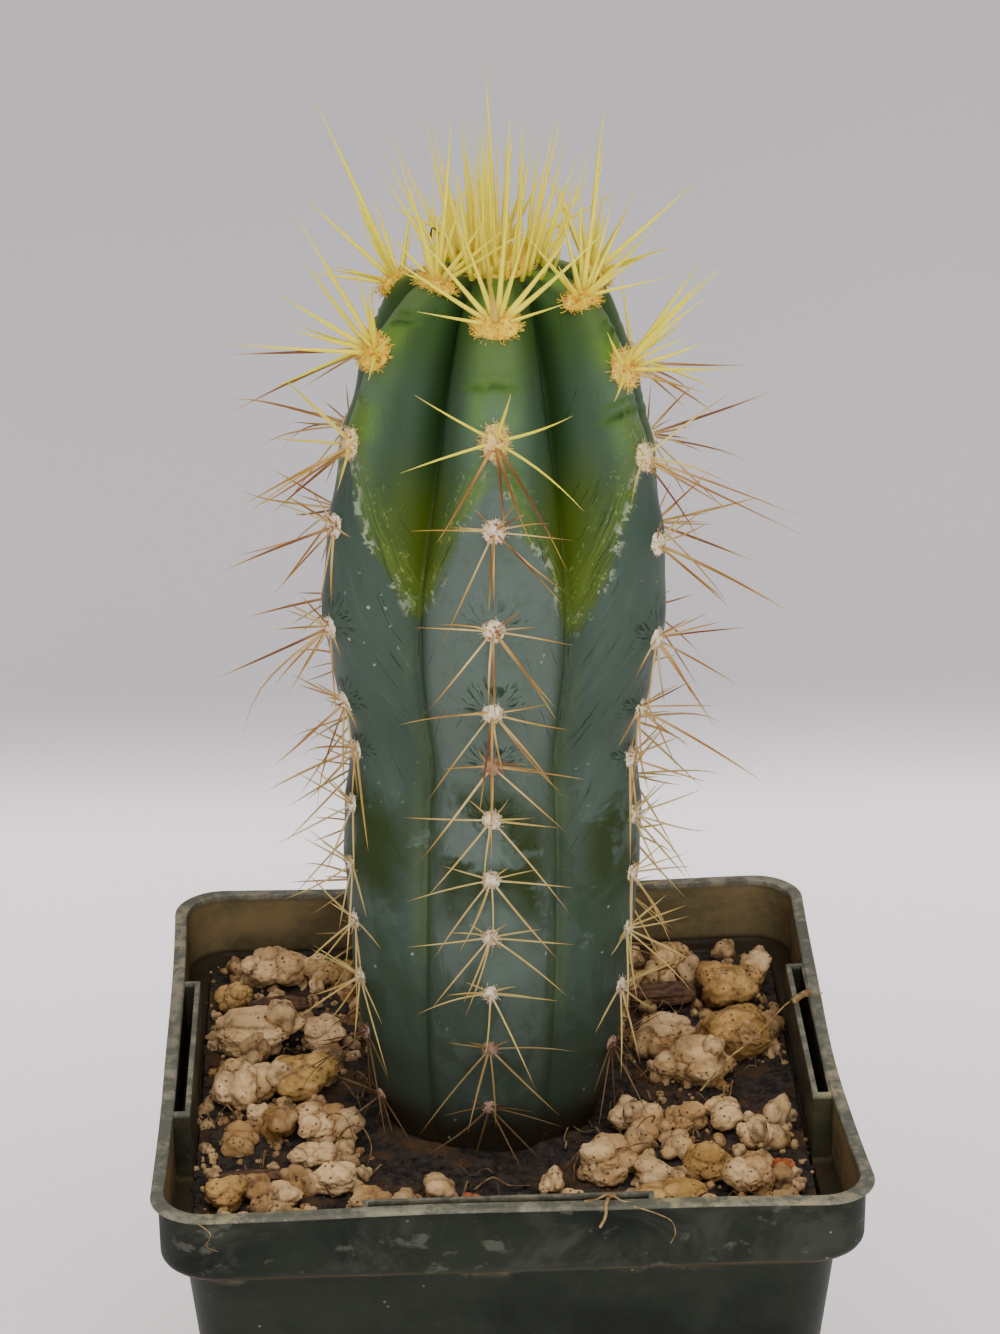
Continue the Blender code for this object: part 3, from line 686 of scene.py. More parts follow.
def ribbed_column_tree():
    """Sweeps a crest outline round an axis and presses grooves between the ribs."""
    field = Field("ribbed_column")
    around, rings, ribs = field.inputs("Int", "Around", "Rings", "Ribs")
    sharpness, turn, offset, lean, base = field.inputs(
        "Float", "Sharpness", "Turn", "Offset", "Lean", "Base"
    )
    sheet = field.add("GeometryNodeMeshGrid", 1.0, 1.0, around + 1.0, rings)
    place = field.value("GeometryNodeInputPosition")
    x, y, _ = field.split(place)
    angle = (x + 0.5) * (2 * math.pi)
    index = field.math("ROUND", (y + 0.5) * (rings - 1.0))

    def sample(value, kind):
        named = {"Geometry": field.source.outputs[0], "Value": value, "Index": index}
        return field.value("GeometryNodeSampleIndex", settings={"data_type": kind}, named=named)

    radius, _, height = field.split(sample(place, "FLOAT_VECTOR"))
    floor = sample(field.named("groove"), "FLOAT")
    wave = field.math("COSINE", angle * (ribs / 2.0))
    crest = field.math("ABSOLUTE", wave) ** sharpness
    reach = radius * (floor + (1.0 - floor) * crest)
    x = reach * field.math("SINE", angle + turn) + (offset + lean * height)
    y = reach * (field.math("COSINE", angle + turn) * -1.0)
    named = {"Geometry": sheet, "Position": field.xyz(x, y, base + height)}
    moved = field.add("GeometryNodeSetPosition", named=named)
    closed = field.add("GeometryNodeMergeByDistance", named={"Geometry": moved, "Distance": 1e-6})
    return field.end(field.add("GeometryNodeFlipFaces", named={"Mesh": closed}))


def skin_values(form, places):
    """For each vertex: rib, share of the way to the groove, share of the height and tier."""
    height = places[:, 2] - form.soil
    x = places[:, 0] - form.offset - form.lean * height
    angle = np.arctan2(x, -places[:, 1]) - form.turn
    pitch = 2 * np.pi / RIB_COUNT
    rib = np.round(angle / pitch)
    signed = (angle - rib * pitch) / (pitch / 2)
    rib = rib.astype(int) % RIB_COUNT
    level = height / form.height
    tier = np.zeros(len(places))
    for index in range(RIB_COUNT):
        chosen = rib == index
        levels = [level for _, level in form.tiers(index)]
        ages = np.arange(len(levels)) + RIB_PHASES[index]
        grid = np.concatenate([[levels[-1] - 0.08], levels[::-1], [levels[0] + 0.08]])
        ladder = np.concatenate([[ages[-1] + 1], ages[::-1], [ages[0] - 1]])
        tier[chosen] = np.interp(level[chosen], grid, ladder) - RIB_PHASES[index]
    return rib, signed, level, tier, np.hypot(x, places[:, 1])


def shape_skin(form, settings, mesh):
    """Swells the crests between areoles, folds the young skin and stores what the skin reads."""
    count = len(mesh.vertices)
    places = np.empty(count * 3, np.float32)
    mesh.vertices.foreach_get("co", places)
    places = places.reshape(-1, 3).astype(float)
    normals = np.empty(count * 3, np.float32)
    mesh.vertices.foreach_get("normal", normals)
    normals = normals.reshape(-1, 3)
    rib, signed, level, tier, reach = skin_values(form, places)
    side = np.abs(signed)
    youth = np.clip((level - 0.45) / 0.5, 0, 1)
    crown = np.clip((1.0 - level) / 0.02, 0, 1) * np.clip((reach - 6 * MM) / (4 * MM), 0, 1)
    buried = np.clip(level / 0.03, 0, 1)
    wave = 0.5 - 0.5 * np.cos(2 * np.pi * tier)
    swell = settings.swell * (0.6 + 0.8 * youth) * wave * (1 - side) ** 1.5
    ragged = np.array([noise.noise(Vector(p) * 160) for p in places])
    bent = tier - 0.10 * side + 0.10 * ragged
    fold_place = np.mod(bent, 1.0) - 0.5
    second_place = np.mod(bent + 0.14, 1.0) - 0.5
    fold = np.exp(-((fold_place / 0.05) ** 2)) + 0.6 * np.exp(-((second_place / 0.035) ** 2))
    fold *= np.clip(1.5 - side * 2.4, 0, 1) * np.clip(0.55 + 1.6 * ragged, 0, 1)
    fold *= np.clip((level - 0.72) / 0.06, 0, 1)
    broad = np.array([noise.noise(Vector(p) * 70 + Vector((3, 7, 1))) for p in places])
    seat = np.exp(-((np.mod(tier + 0.5, 1.0) - 0.5) ** 2) / 0.012) * np.exp(-((side / 0.25) ** 2))
    move = swell * buried * crown - settings.fold * fold * crown
    move += 0.35 * MM * broad * buried * crown - 0.25 * MM * seat * (1 - youth) * crown
    places += normals * move[:, None]
    mesh.vertices.foreach_set("co", places.astype(np.float32).ravel())
    for name, values in (
        ("side", side),
        ("signed_side", signed),
        ("rise", level),
        ("tier", tier),
        ("rib", rib),
        ("fold", fold),
    ):
        layer = mesh.attributes.new(name, "FLOAT", "POINT")
        layer.data.foreach_set("value", values.astype(np.float32))
    mesh.update()


def around_areole(s):
    """Millimetres from the nearest areole on the skin, and the angle there."""
    beat = s.math("FRACT", s.attribute("tier") + 100.5) - 0.5
    up = beat * -10.5
    aside = s.attribute("signed_side") * 12.0
    far = s.vector("LENGTH", s.xyz(aside, up, 0.0))
    return far, s.math("ARCTAN2", up, aside), up


# Shades of the skin that no setting holds; where one is painted shade or painted light, a comment
# says so where it is used.
SKIN = {
    "newest": (0.030, 0.070, 0.011),
    "top_crest": (0.088, 0.150, 0.042),
    "fold": (0.085, 0.190, 0.020),
    "crease": (0.010, 0.040, 0.004),
    "olive": (0.044, 0.078, 0.020),
    "young_groove_shade": (0.016, 0.042, 0.010),
    "lime": (0.100, 0.150, 0.020),
    "dull_wax": (0.049, 0.077, 0.058),
    "lit_front_wax": (0.118, 0.154, 0.134),
    "dull_lit_front_wax": (0.096, 0.130, 0.106),
    "wax_streak": (0.098, 0.138, 0.112),
    "wax_grain": (0.046, 0.072, 0.050),
    "wax_line": (0.020, 0.044, 0.030),
    "mottle": (0.030, 0.052, 0.020),
    "foot": (0.030, 0.040, 0.026),
    "cork": (0.030, 0.019, 0.011),
    "lit_groove": (0.098, 0.134, 0.060),
    "groove_shade_line": (0.020, 0.040, 0.010),
    "lash": (0.012, 0.030, 0.012),
    "lime_dust": (0.260, 0.330, 0.080),
    "chip": (0.330, 0.370, 0.290),
    "smear": (0.220, 0.260, 0.235),
}


def skin_material(settings):
    """Young green skin that grows a blue-grey wax with flaked edges down each rib."""
    s = Shader("cactus_skin", roughness=0.5, specular=0.10)
    side = s.attribute("side")
    rise = s.attribute("rise")
    tier = s.attribute("tier")
    rib = s.attribute("rib")
    fold = s.attribute("fold")
    cloud = s.noise(s.place, 90, 4.0, 0.6)
    fine = s.noise(s.place, 520, 4.0, 0.65)
    broad = s.noise(s.place, 34, 3.0, 0.5)
    # streaks that fall from the crest towards the groove
    slant = rise + side * 0.2
    wobble = (cloud - 0.5) * 0.035
    across = (slant + wobble) * 190.0
    along = side * 2.2
    streak_place = s.xyz(across, along, rib * 9.0)
    streak = s.noise(streak_place, 1.0, 3.0, 0.6)
    coarse_place = s.xyz(across * 0.22, along, rib * 5.0)
    coarse = s.noise(coarse_place, 1.0, 3.0, 0.6)
    # how far out from the crest the wax has spread at this height
    spread = (0.845 - rise) * 4.9
    ragged = (cloud - 0.5) * 0.5
    rough_edge = (streak - 0.5) * 0.16
    edge = spread + ragged + rough_edge - side
    waxed = s.ramp(edge, -0.06, 0.12)
    # young skin: bloom, partly painted light, on the crests over flanks darkened partly by painted
    # shade; near-black green painted shade in the grooves
    crest = s.ramp(side, 0.62, 0.08)
    skin = s.mix(crest * 0.85, settings.flank, settings.bloom)
    skin = s.mix(s.ramp(broad, 0.4, 0.7) * 0.35, skin, settings.flank)
    newest = s.ramp(rise, 0.895, 0.96) * s.ramp(side, 0.1, 0.4)
    skin = s.mix(newest * 0.85, skin, SKIN["newest"])
    skin = s.mix(s.ramp(rise, 0.885, 0.93) * crest, skin, SKIN["top_crest"])
    beat = s.math("FRACT", tier + 100.0)
    patch = s.window(beat, 0.38, 0.60, 0.80, 1.0)
    patch *= s.ramp(side, 0.5, 0.12) * s.ramp(rise, 0.76, 0.84)
    light = patch * s.ramp(cloud, 0.28, 0.58)
    skin = s.mix(light * 0.85, skin, settings.young)
    # painted shade: the creases over the young areoles are darkened near black
    crease = s.math("MULTIPLY", fold, s.ramp(fine, 0.25, 0.55), clamp=True)
    skin = s.mix(s.ramp(fold, 0.02, 0.4) * 0.45, skin, SKIN["fold"])
    skin = s.mix(crease * 0.95, skin, SKIN["crease"])
    gully = s.ramp(side, 0.45, 0.90)
    olive = s.mix(gully, SKIN["olive"], settings.groove)
    lower = s.ramp(rise, 0.86, 0.78) * s.ramp(side, 0.3, 0.7)
    skin = s.mix(lower, skin, olive)
    # painted shade: near-black green down the young grooves near the top
    skin = s.mix(s.ramp(rise, 0.74, 0.86) * s.ramp(side, 0.68, 0.94), skin, SKIN["young_groove_shade"])
    # a lime streak where the wax begins
    lime = s.window(edge, -0.34, -0.12, -0.04, 0.12)
    lime *= s.ramp(streak, 0.36, 0.6)
    skin = s.mix(lime * 0.75, skin, SKIN["lime"])
    # the wax itself, mottled lower down
    dull = s.ramp(broad, 0.3, 0.7)
    pale = s.mix(dull, settings.wax, SKIN["dull_wax"])
    # painted light: the front rib, which faces the camera and the front softbox, gets paler wax
    lit_front_rib = s.ramp(rib, 0.6, 0.4) * s.ramp(side, 0.95, 0.7)
    pale = s.mix(lit_front_rib, pale, s.mix(dull, SKIN["lit_front_wax"], SKIN["dull_lit_front_wax"]))
    wax = s.mix(s.ramp(coarse, 0.5, 0.74) * 0.28, pale, SKIN["wax_streak"])
    wax = s.mix(s.ramp(fine, 0.5, 0.72) * 0.3, wax, SKIN["wax_grain"])
    lines = s.ramp(streak, 0.36, 0.29) * s.ramp(side, 0.22, 0.5)
    lines *= s.ramp(rise, 0.24, 0.45)
    wax = s.mix(lines * 0.55, wax, SKIN["wax_line"])
    skin = s.mix(waxed, skin, wax)
    mottle_place = s.vector("MULTIPLY", s.place, (1.0, 1.0, 0.55))
    mottle = s.noise(mottle_place, 105, 5.0, 0.62, 0.6)
    patchy = s.ramp(mottle, 0.47, 0.56) * s.ramp(rise, 0.6, 0.36)
    skin = s.mix(patchy * 0.5, skin, SKIN["mottle"])
    # bare green bands low on the crests, and a foot darkened by painted shade
    band_edge = (cloud - 0.5) * 0.14
    band_rise = rise - side * -0.05 + band_edge
    band = s.window(band_rise, 0.30, 0.38, 0.43, 0.50)
    band *= s.ramp(side, 0.95, 0.45)
    band *= s.ramp(s.noise(s.place, 125, 5.0, 0.62, 0.4), 0.6, 0.52)
    skin = s.mix(band * 0.9, skin, settings.deep)
    # painted shade: the skin darkens towards the soil
    foot = s.ramp(rise + band_edge, 0.34, 0.02)
    skin = s.mix(foot * 0.8, skin, SKIN["foot"])
    cork = s.ramp(rise + band_edge * 0.5, 0.075, 0.025)
    skin = s.mix(cork * 0.9, skin, SKIN["cork"])
    # painted light: paler skin down the old grooves that lifts their shade, with a thin dark line
    # of painted shade at the bottom
    lit_groove = s.ramp(side, 0.76, 0.94) * s.window(rise, 0.1, 0.25, 0.58, 0.7)
    lit_groove *= s.ramp(s.stretched((1.0, 1.0, 0.5), 130, 4.0, 0.6), 0.36, 0.6)
    skin = s.mix(lit_groove * 0.62, skin, SKIN["lit_groove"])
    # painted shade: a thin dark line along the bottom of each groove
    skin = s.mix(s.ramp(side, 0.975, 1.0) * 0.55, skin, SKIN["groove_shade_line"])
    # painted shade: dark strokes like lashes in the creases round the middle areoles
    far, angle, up = around_areole(s)
    lash_place = s.xyz(angle * 5.0, far * 0.35, rib * 3.0)
    lash = s.ramp(s.noise(lash_place, 1.6, 2.0, 0.5), 0.54, 0.62)
    lash *= s.window(far, 1.6, 2.4, 3.4, 5.2)
    lash *= s.window(rise, 0.4, 0.47, 0.64, 0.74)
    lash *= s.ramp(up, -1.2, 0.8) * 0.85 + 0.15
    skin = s.mix(lash * 0.85, skin, SKIN["lash"])
    # flakes along the wax's edge, and lime specks
    rim = s.window(edge, -0.12, -0.03, 0.02, 0.12)
    ragged_bits = s.noise(s.place, 620, 3.0, 0.6)
    flake = rim * s.ramp(s.noise(s.place, 300, 4.0, 0.7), 0.5, 0.55)
    flake *= s.ramp(ragged_bits, 0.46, 0.52)
    flake *= s.ramp(side, 0.98, 0.8)
    skin = s.mix(flake * 0.72, skin, settings.crust)
    dust = s.window(edge, -0.55, -0.05, -0.02, 0.05)
    dust *= s.ramp(s.noise(s.place, 1500, 2.0, 0.6), 0.6, 0.66)
    dust *= s.ramp(streak, 0.38, 0.55) * s.ramp(rise, 0.4, 0.55)
    skin = s.mix(dust * 0.6, skin, SKIN["lime_dust"])
    chip = s.ramp(s.cells(s.place, 520), 0.15, 0.1) * s.ramp(cloud, 0.52, 0.6)
    chip *= s.ramp(fine, 0.46, 0.54) * s.ramp(rise, 0.86, 0.76)
    skin = s.mix(chip * 0.8, skin, SKIN["chip"])
    smear_place = s.vector("MULTIPLY", s.place, (1.0, 1.0, 2.2))
    smear = s.ramp(s.noise(smear_place, 60, 5.0, 0.7), 0.63, 0.74)
    smear *= s.ramp(rise, 0.48, 0.38)
    skin = s.mix(smear * 0.45, skin, SKIN["smear"])
    rough = fine * 0.18 + 0.36
    rough += flake * 0.3
    relief = lines * -0.7 + flake * 0.5
    relief += fine * 0.25
    relief += waxed * 0.35
    relief -= lash * 0.6
    return s.done(skin, rough, s.bump(relief, 0.00018))


# --- spines and wool ----------------------------------------------------------------------
# One cluster: turn from upwards in degrees, length, rise off the skin in degrees, girth share
# and how brown the spine is.
NEW_SPINES = (
    (6, 22.5, 62, 1.15, 0.10),
    (-150, 17.5, 78, 1.10, 0.15),
    (24, 12.0, 50, 1.00, 0.00),
    (-22, 12.5, 52, 1.00, 0.00),
    (50, 14.5, 38, 1.05, 0.05),
    (-48, 14.0, 40, 1.05, 0.05),
    (72, 15.0, 26, 1.00, 0.15),
    (-74, 14.5, 27, 1.00, 0.15),
    (92, 10.0, 34, 0.85, 0.20),
    (-96, 10.5, 34, 0.85, 0.20),
    (150, 11.0, 44, 0.80, 0.30),
    (38, 9.0, 68, 0.80, 0.00),
)
SECOND_SPINES = (
    (14, 14.5, 56, 1.25, 0.10),
    (72, 12.0, 22, 0.95, 0.10),
    (-98, 12.0, 18, 0.95, 0.10),
    (113, 12.5, 26, 0.95, 0.12),
    (-58, 10.5, 30, 0.80, 0.10),
    (-166, 15.5, 40, 0.90, 0.72),
    (152, 17.5, 44, 0.90, 0.85),
    (168, 13.5, 46, 0.85, 0.65),
    (160, 18.5, 66, 0.95, 0.70),
)
OLD_SPINES = (
    (40, 5.0, 34, 0.80, 0.55),
    (-34, 4.8, 34, 0.80, 0.55),
    (66, 7.0, 28, 0.80, 0.45),
    (-64, 7.0, 28, 0.80, 0.45),
    (92, 9.8, 14, 0.90, 0.35),
    (-90, 9.8, 14, 0.90, 0.35),
    (137, 12.5, 20, 1.00, 0.40),
    (-138, 13.0, 20, 1.00, 0.40),
    (181, 9.5, 14, 0.95, 0.30),
)
# Spines that stand straight off the older areoles of the middle tiers.
CENTRAL_SPINES = (
    (178, 18.0, 80, 1.20, 0.70),
    (-150, 13.5, 58, 1.10, 0.80),
    (35, 11.5, 62, 1.00, 0.75),
    (125, 12.5, 54, 1.00, 0.65),
)
# Age in tiers, half width and half height of an areole's wool in millimetres.
WOOL_SIZES = (
    (0.0, 4.2, 1.4),
    (0.4, 3.7, 1.6),
    (0.7, 2.7, 2.0),
    (1.2, 2.3, 2.3),
    (1.7, 1.55, 2.2),
    (2.6, 1.45, 1.5),
    (5.0, 1.35, 1.35),
    (9.0, 1.05, 1.05),
)
# A dried dark scrap caught in the crown's spines: radius, then points from the growing tip.
HUSK = (
    (0.16,
        ((-7.6, -3.0, 3.6), (-8.2, -3.2, 4.8), (-8.0, -3.2, 6.2), (-7.2, -3.3, 5.4),
         (-7.0, -3.4, 4.2)),
    ),
    (0.10, ((-7.2, -3.3, 5.4), (-6.4, -3.4, 5.2), (-6.8, -3.2, 3.8))),
)
TIP_BEND = 0.13
# The share of bent-tipped spines among the brown ones, and how hard their tips turn.
HOOK_CHANCE = 0.4
HOOK = 2.0
# Areoles older than this, in tiers, are stained brown; so is one on the front rib.
RUSTY_AGE = 10.2
RUSTY_PAD = (5.2, 6.2)
GOLDEN_ANGLE = 2.399963
CROWN_REACH = 7.4 * MM
CROWN_WOOL = (4.6 * MM, 4.6 * MM, 1.7 * MM)
HAIR_LENGTH = 0.62 * MM
# The lowest spines stop this far over the soil.
SPINE_CLEARANCE = 1.2 * MM
# How a needle narrows: the power of its taper when young, and how much more it has when old.
DAGGER_POWER = 1.15
ROD_POWER = 1.9
TAPER_SHARE = 0.96


def needle_tree():
    """One tapered, bent needle on each point, from the point's aim, size and bend."""
    field = Field("needles")
    sides, steps = field.inputs("Int", "Sides", "Steps")
    named = {"Vertices": sides, "Side Segments": steps}
    named.update({"Radius Top": 1.0, "Radius Bottom": 1.0, "Depth": 1.0})
    settings = {"fill_type": "TRIANGLE_FAN"}
    cone = field.add("GeometryNodeMeshCone", settings=settings, named=named)
    height = field.split(field.value("GeometryNodeInputPosition"))[2]
    marked = field.store(cone.outputs["Mesh"], "along", height)
    aim = field.arrow("aim")
    turned = field.upright_on(aim)
    placed = field.on_points(field.source.outputs[0], marked, turned, field.arrow("size"))
    real = field.add("GeometryNodeRealizeInstances", placed)
    along = field.named("along")
    # narrowing towards the shaft's middle line: daggers when young, pointed rods when old
    reach = field.split(field.arrow("size"))[2]
    centre = field.vector("ADD", field.arrow("root"), field.vector("SCALE", aim, along * reach))
    inwards = field.vector("SUBTRACT", centre, field.value("GeometryNodeInputPosition"))
    older = field.math("MAXIMUM", (field.named("age") - 1.0) * 0.9, 0.0)
    power = field.math("MINIMUM", older, ROD_POWER) + DAGGER_POWER
    inwards = field.vector("SCALE", inwards, along**power * TAPER_SHARE)
    pull = along**2.0 + along**6.0 * field.named("hook")
    shift = field.vector("ADD", field.vector("SCALE", field.arrow("bend"), pull), inwards)
    return field.end(
        field.add("GeometryNodeSetPosition", named={"Geometry": real, "Offset": shift})
    )


def hair_tree():
    """Short curly hairs standing on a pad's faces."""
    field = Field("wool_hairs")
    amount, reach = field.inputs("Float", "Amount", "Length")
    spread = field.strewn(amount * field.named("fluff"), 4)
    curl = {
        "Resolution": 4,
        "Start": (0, 0, 0),
        "Start Handle": (0.35, 0.1, 0.45),
        "End Handle": (-0.35, 0.35, 0.85),
        "End": (0.15, 0.55, 1.0),
    }
    arc = field.add("GeometryNodeCurvePrimitiveBezierSegment", named=curl)
    section = {"Resolution": 3, "Radius": 0.06}
    ring = field.add("GeometryNodeCurvePrimitiveCircle", named=section)
    strand = field.add("GeometryNodeCurveToMesh", arc, ring, named={"Fill Caps": True})
    scatter = field.random((-0.9, -0.9, -0.9), (0.9, 0.9, 0.9), 7, "FLOAT_VECTOR")
    turned = field.upright_on(field.vector("ADD", spread.outputs["Normal"], scatter))
    scale = reach * field.random(0.5, 1.25, 9) * field.named("shag")
    return field.end(field.on_points(spread.outputs["Points"], strand, turned, scale))


def lumpy_pad(shape, frame_at, size, chooser, marks):
    """A knobbly cushion added to a bmesh, with values for its layers."""
    centre, across, up, normal = frame_at
    wide, tall, rise = size
    start = len(shape.verts)
    bmesh.ops.create_icosphere(shape, subdivisions=3, radius=1.0)
    shape.verts.ensure_lookup_table()
    offset = Vector([chooser.uniform(-40, 40) for _ in range(3)])
    for vert in shape.verts[start:]:
        knob = noise.noise(vert.co * 2.6 + offset) * 0.22 + noise.noise(vert.co * 6 + offset) * 0.10
        p = vert.co * (1 + knob)
        vert.co = centre + across * p.x * wide + up * p.y * tall + normal * p.z * rise
        for layer, value in marks:
            vert[layer] = value


# Shades of the spines by age, root and tip.
SPINE = {
    "pale_root": (0.700, 0.540, 0.220),
    "brown_root": (0.520, 0.300, 0.085),
    "rust": (0.500, 0.280, 0.045),
    "dark_rust": (0.150, 0.042, 0.010),
    "dark_tip": (0.260, 0.110, 0.016),
    "gold_tip": (0.470, 0.300, 0.025),
    "aged": (0.460, 0.290, 0.080),
    "aged_root": (0.680, 0.560, 0.300),
    "aged_tip": (0.300, 0.150, 0.035),
    "lowest": (0.110, 0.060, 0.022),
    "fresh_root": (1.000, 0.860, 0.070),
    "fresh_tip": (0.880, 0.800, 0.120),
    "brown_tip": (0.620, 0.400, 0.040),
    "grain": (0.300, 0.160, 0.040),
}


def spine_material(settings):
    """Horny spines: yellow when young, red-brown over straw in the middle tiers, straw when old."""
    s = Shader("cactus_spine", roughness=0.42, specular=0.35)
    along = s.attribute("along")
    age = s.attribute("age")
    tint = s.attribute("tint")
    old = s.ramp(age, 5.0, 7.5)
    young = s.ramp(age, 2.5, 1.6) * s.ramp(tint, 0.62, 0.4)
    base_tone = s.mix(tint, SPINE["pale_root"], SPINE["brown_root"])
    rust = s.mix(s.ramp(tint, 0.25, 0.75), SPINE["rust"], settings.amber)
    rust = s.mix(s.ramp(tint, 0.70, 0.95), rust, SPINE["dark_rust"])
    shift = along + (tint - 0.5) * 0.5
    middle = s.mix(s.ramp(shift, 0.15, 0.55), base_tone, rust)
    tips = s.mix(s.ramp(tint, 0.30, 0.60), SPINE["dark_tip"], SPINE["gold_tip"])
    middle = s.mix(s.ramp(along, 0.60, 0.95), middle, tips)
    aged = s.mix(tint, settings.straw, SPINE["aged"])
    aged = s.mix(s.ramp(along, 0.0, 0.25), SPINE["aged_root"], aged)
    aged = s.mix(s.ramp(along, 0.62, 1.0) * 0.75, aged, SPINE["aged_tip"])
    aged = s.mix(s.ramp(age, RUSTY_AGE, 11.0), aged, SPINE["lowest"])
    fresh = s.mix(s.ramp(along, 0.0, 0.30), SPINE["fresh_root"], settings.yellow)
    late = s.mix(tint, SPINE["fresh_tip"], SPINE["brown_tip"])
    fresh = s.mix(s.ramp(along, 0.55, 1.0), fresh, late)
    base = s.mix(old, middle, aged)
    base = s.mix(young, base, fresh)
    grain = s.stretched((1.0, 1.0, 0.25), 2600, 2.0, 0.6)
    base = s.mix(s.ramp(grain, 0.45, 0.75) * 0.15, base, SPINE["grain"])
    s.principled.inputs["Subsurface Weight"].default_value = 0.2
    s.principled.inputs["Subsurface Radius"].default_value = (0.0008, 0.0005, 0.0002)
    s.principled.inputs["Subsurface Scale"].default_value = 1.0
    return s.done(base, grain * 0.2 + 0.34, s.bump(grain, 0.00003))


# Shades of the wool.
WOOL = {
    "gold": (1.000, 0.790, 0.080),
    "young_dot": (0.560, 0.200, 0.030),
    "tan": (0.560, 0.330, 0.150),
    "cream": (0.920, 0.860, 0.720),
    "old_dot": (0.260, 0.120, 0.060),
    "rusty": (0.200, 0.060, 0.040),
}


def wool_material(settings):
    """Felted wool: golden on the newest areoles, cream with brown specks on the old."""
    s = Shader("areole_wool", roughness=0.95, specular=0.05)
    youth = s.attribute("youth")
    rust = s.attribute("rust")
    mottled = s.noise(s.place, 1500, 3.0, 0.65)
    dots = s.noise(s.place, 1700, 1.0, 0.5)
    young = s.mix(s.ramp(mottled, 0.35, 0.65), settings.felt, WOOL["gold"])
    young = s.mix(s.ramp(dots, 0.58, 0.66), young, WOOL["young_dot"])
    old = s.mix(s.ramp(mottled, 0.34, 0.50), WOOL["tan"], settings.grey)
    old = s.mix(s.ramp(mottled, 0.54, 0.68), old, WOOL["cream"])
    old = s.mix(s.ramp(dots, 0.60, 0.68), old, WOOL["old_dot"])
    base = s.mix(rust * 0.75, s.mix(youth, old, young), WOOL["rusty"])
    s.principled.inputs["Sheen Weight"].default_value = 0.15
    s.principled.inputs["Sheen Roughness"].default_value = 0.5
    return s.done(base, None, s.bump(mottled, 0.00015))


def youth_of(age):
    """1 for the newest areoles, 0 once the wool has greyed."""
    return float(np.clip((2.6 - age) / 1.6, 0, 1))


def wool_size(age):
    """Half width, half height and rise of an areole's wool."""
    ages, widths, heights = zip(*WOOL_SIZES)
    wide = float(np.interp(age, ages, widths)) * MM
    tall = float(np.interp(age, ages, heights)) * MM
    return wide, tall, 0.55 * min(wide, tall)


def cluster_of(age, chooser):
    """The spines of one areole: the table for its age, thinned at random."""
    if age < 1.25:
        return [spine for spine in NEW_SPINES if chooser.random() > 0.06]
    if age < 2.3:
        return [spine for spine in SECOND_SPINES if chooser.random() > 0.05]
    spines = [spine for spine in OLD_SPINES if chooser.random() > 0.08]
    standing = float(np.clip((7.0 - age) / 2.0, 0.35, 1))
    for turn, reach, lift, stout, brown in CENTRAL_SPINES:
        if chooser.random() < 0.8 * standing:
            share_left = 0.62 + 0.38 * standing
            spines.append((turn, reach * share_left, lift, stout, brown))
    return spines


def spine_rows(form, settings, rib, chooser):
    """Places, aims, sizes, bends, hooks, ages and tints of one rib's spines."""
    rows = []
    floor = form.soil + SPINE_CLEARANCE
    for age, level in form.tiers(rib):
        centre, across, up, normal = form.areole(level, rib)
        youth = youth_of(age)
        wide, tall, rise = wool_size(age)
        girth = settings.girth + (settings.young_girth - settings.girth) * youth
        for turn, reach, lift, stout, brown in cluster_of(age, chooser):
            angle = math.radians(turn + chooser.gauss(0, 6))
            raised = math.radians(lift + chooser.gauss(0, 5))
            flat = up * math.cos(angle) + across * math.sin(angle)
            aim = flat * math.cos(raised) + normal * math.sin(raised)
            long = reach * MM * chooser.uniform(0.84, 1.14)
            foot = up * math.cos(angle) * tall + across * math.sin(angle) * wide
            start = centre + foot * 0.45 * math.cos(raised) + normal * rise * 0.4
            if aim.z < 0:
                long = min(long, max(1.5 * MM, (start.z - floor) / -aim.z))
            bend = normal.cross(aim) * chooser.gauss(0, 0.6) - up * chooser.uniform(-0.2, 0.7)
            bend = bend * long * TIP_BEND
            hook = HOOK if brown > 0.6 and chooser.random() < HOOK_CHANCE else 0.0
            width = girth * stout * chooser.uniform(0.85, 1.15)
            tint = min(1.0, max(0.0, brown + chooser.gauss(0, 0.16)))
            size = (width * (1 + 0.4 * youth), width, long)
            rows.append((start, aim, size, bend, hook, age, tint))
    return rows


def crown_rows(form, settings, chooser):
    """The tuft of newest spines over the growing tip."""
    rows = []
    height = form.crest(len(CREST_OUTLINE) - 2.0)[0]
    middle = form.axis(height)
    count = settings.tuft
    for index in range(count):
        part = (index + 0.5) / count
        angle = index * GOLDEN_ANGLE
        reach = math.sqrt(part) * CROWN_REACH
        lean = math.radians(2 + 25 * part**1.5 + chooser.gauss(0, 4))
        out = form.outwards(angle)
        start = middle + out * reach + Vector((0, 0, 1.6 * MM * (1 - part)))
        aim = out * math.sin(lean) + Vector((0, 0, math.cos(lean)))
        long = (16.5 + chooser.uniform(-6.5, 3.5) - 2.0 * part) * MM
        width = settings.young_girth * chooser.uniform(0.6, 1.1)
        bend = out * long * 0.05 * chooser.uniform(-0.5, 1.5)
        tint = max(0.0, chooser.gauss(0.12, 0.14))
        rows.append((start, aim, (width * 1.35, width * 0.8, long), bend, 0.0, 0.0, tint))
    return rows


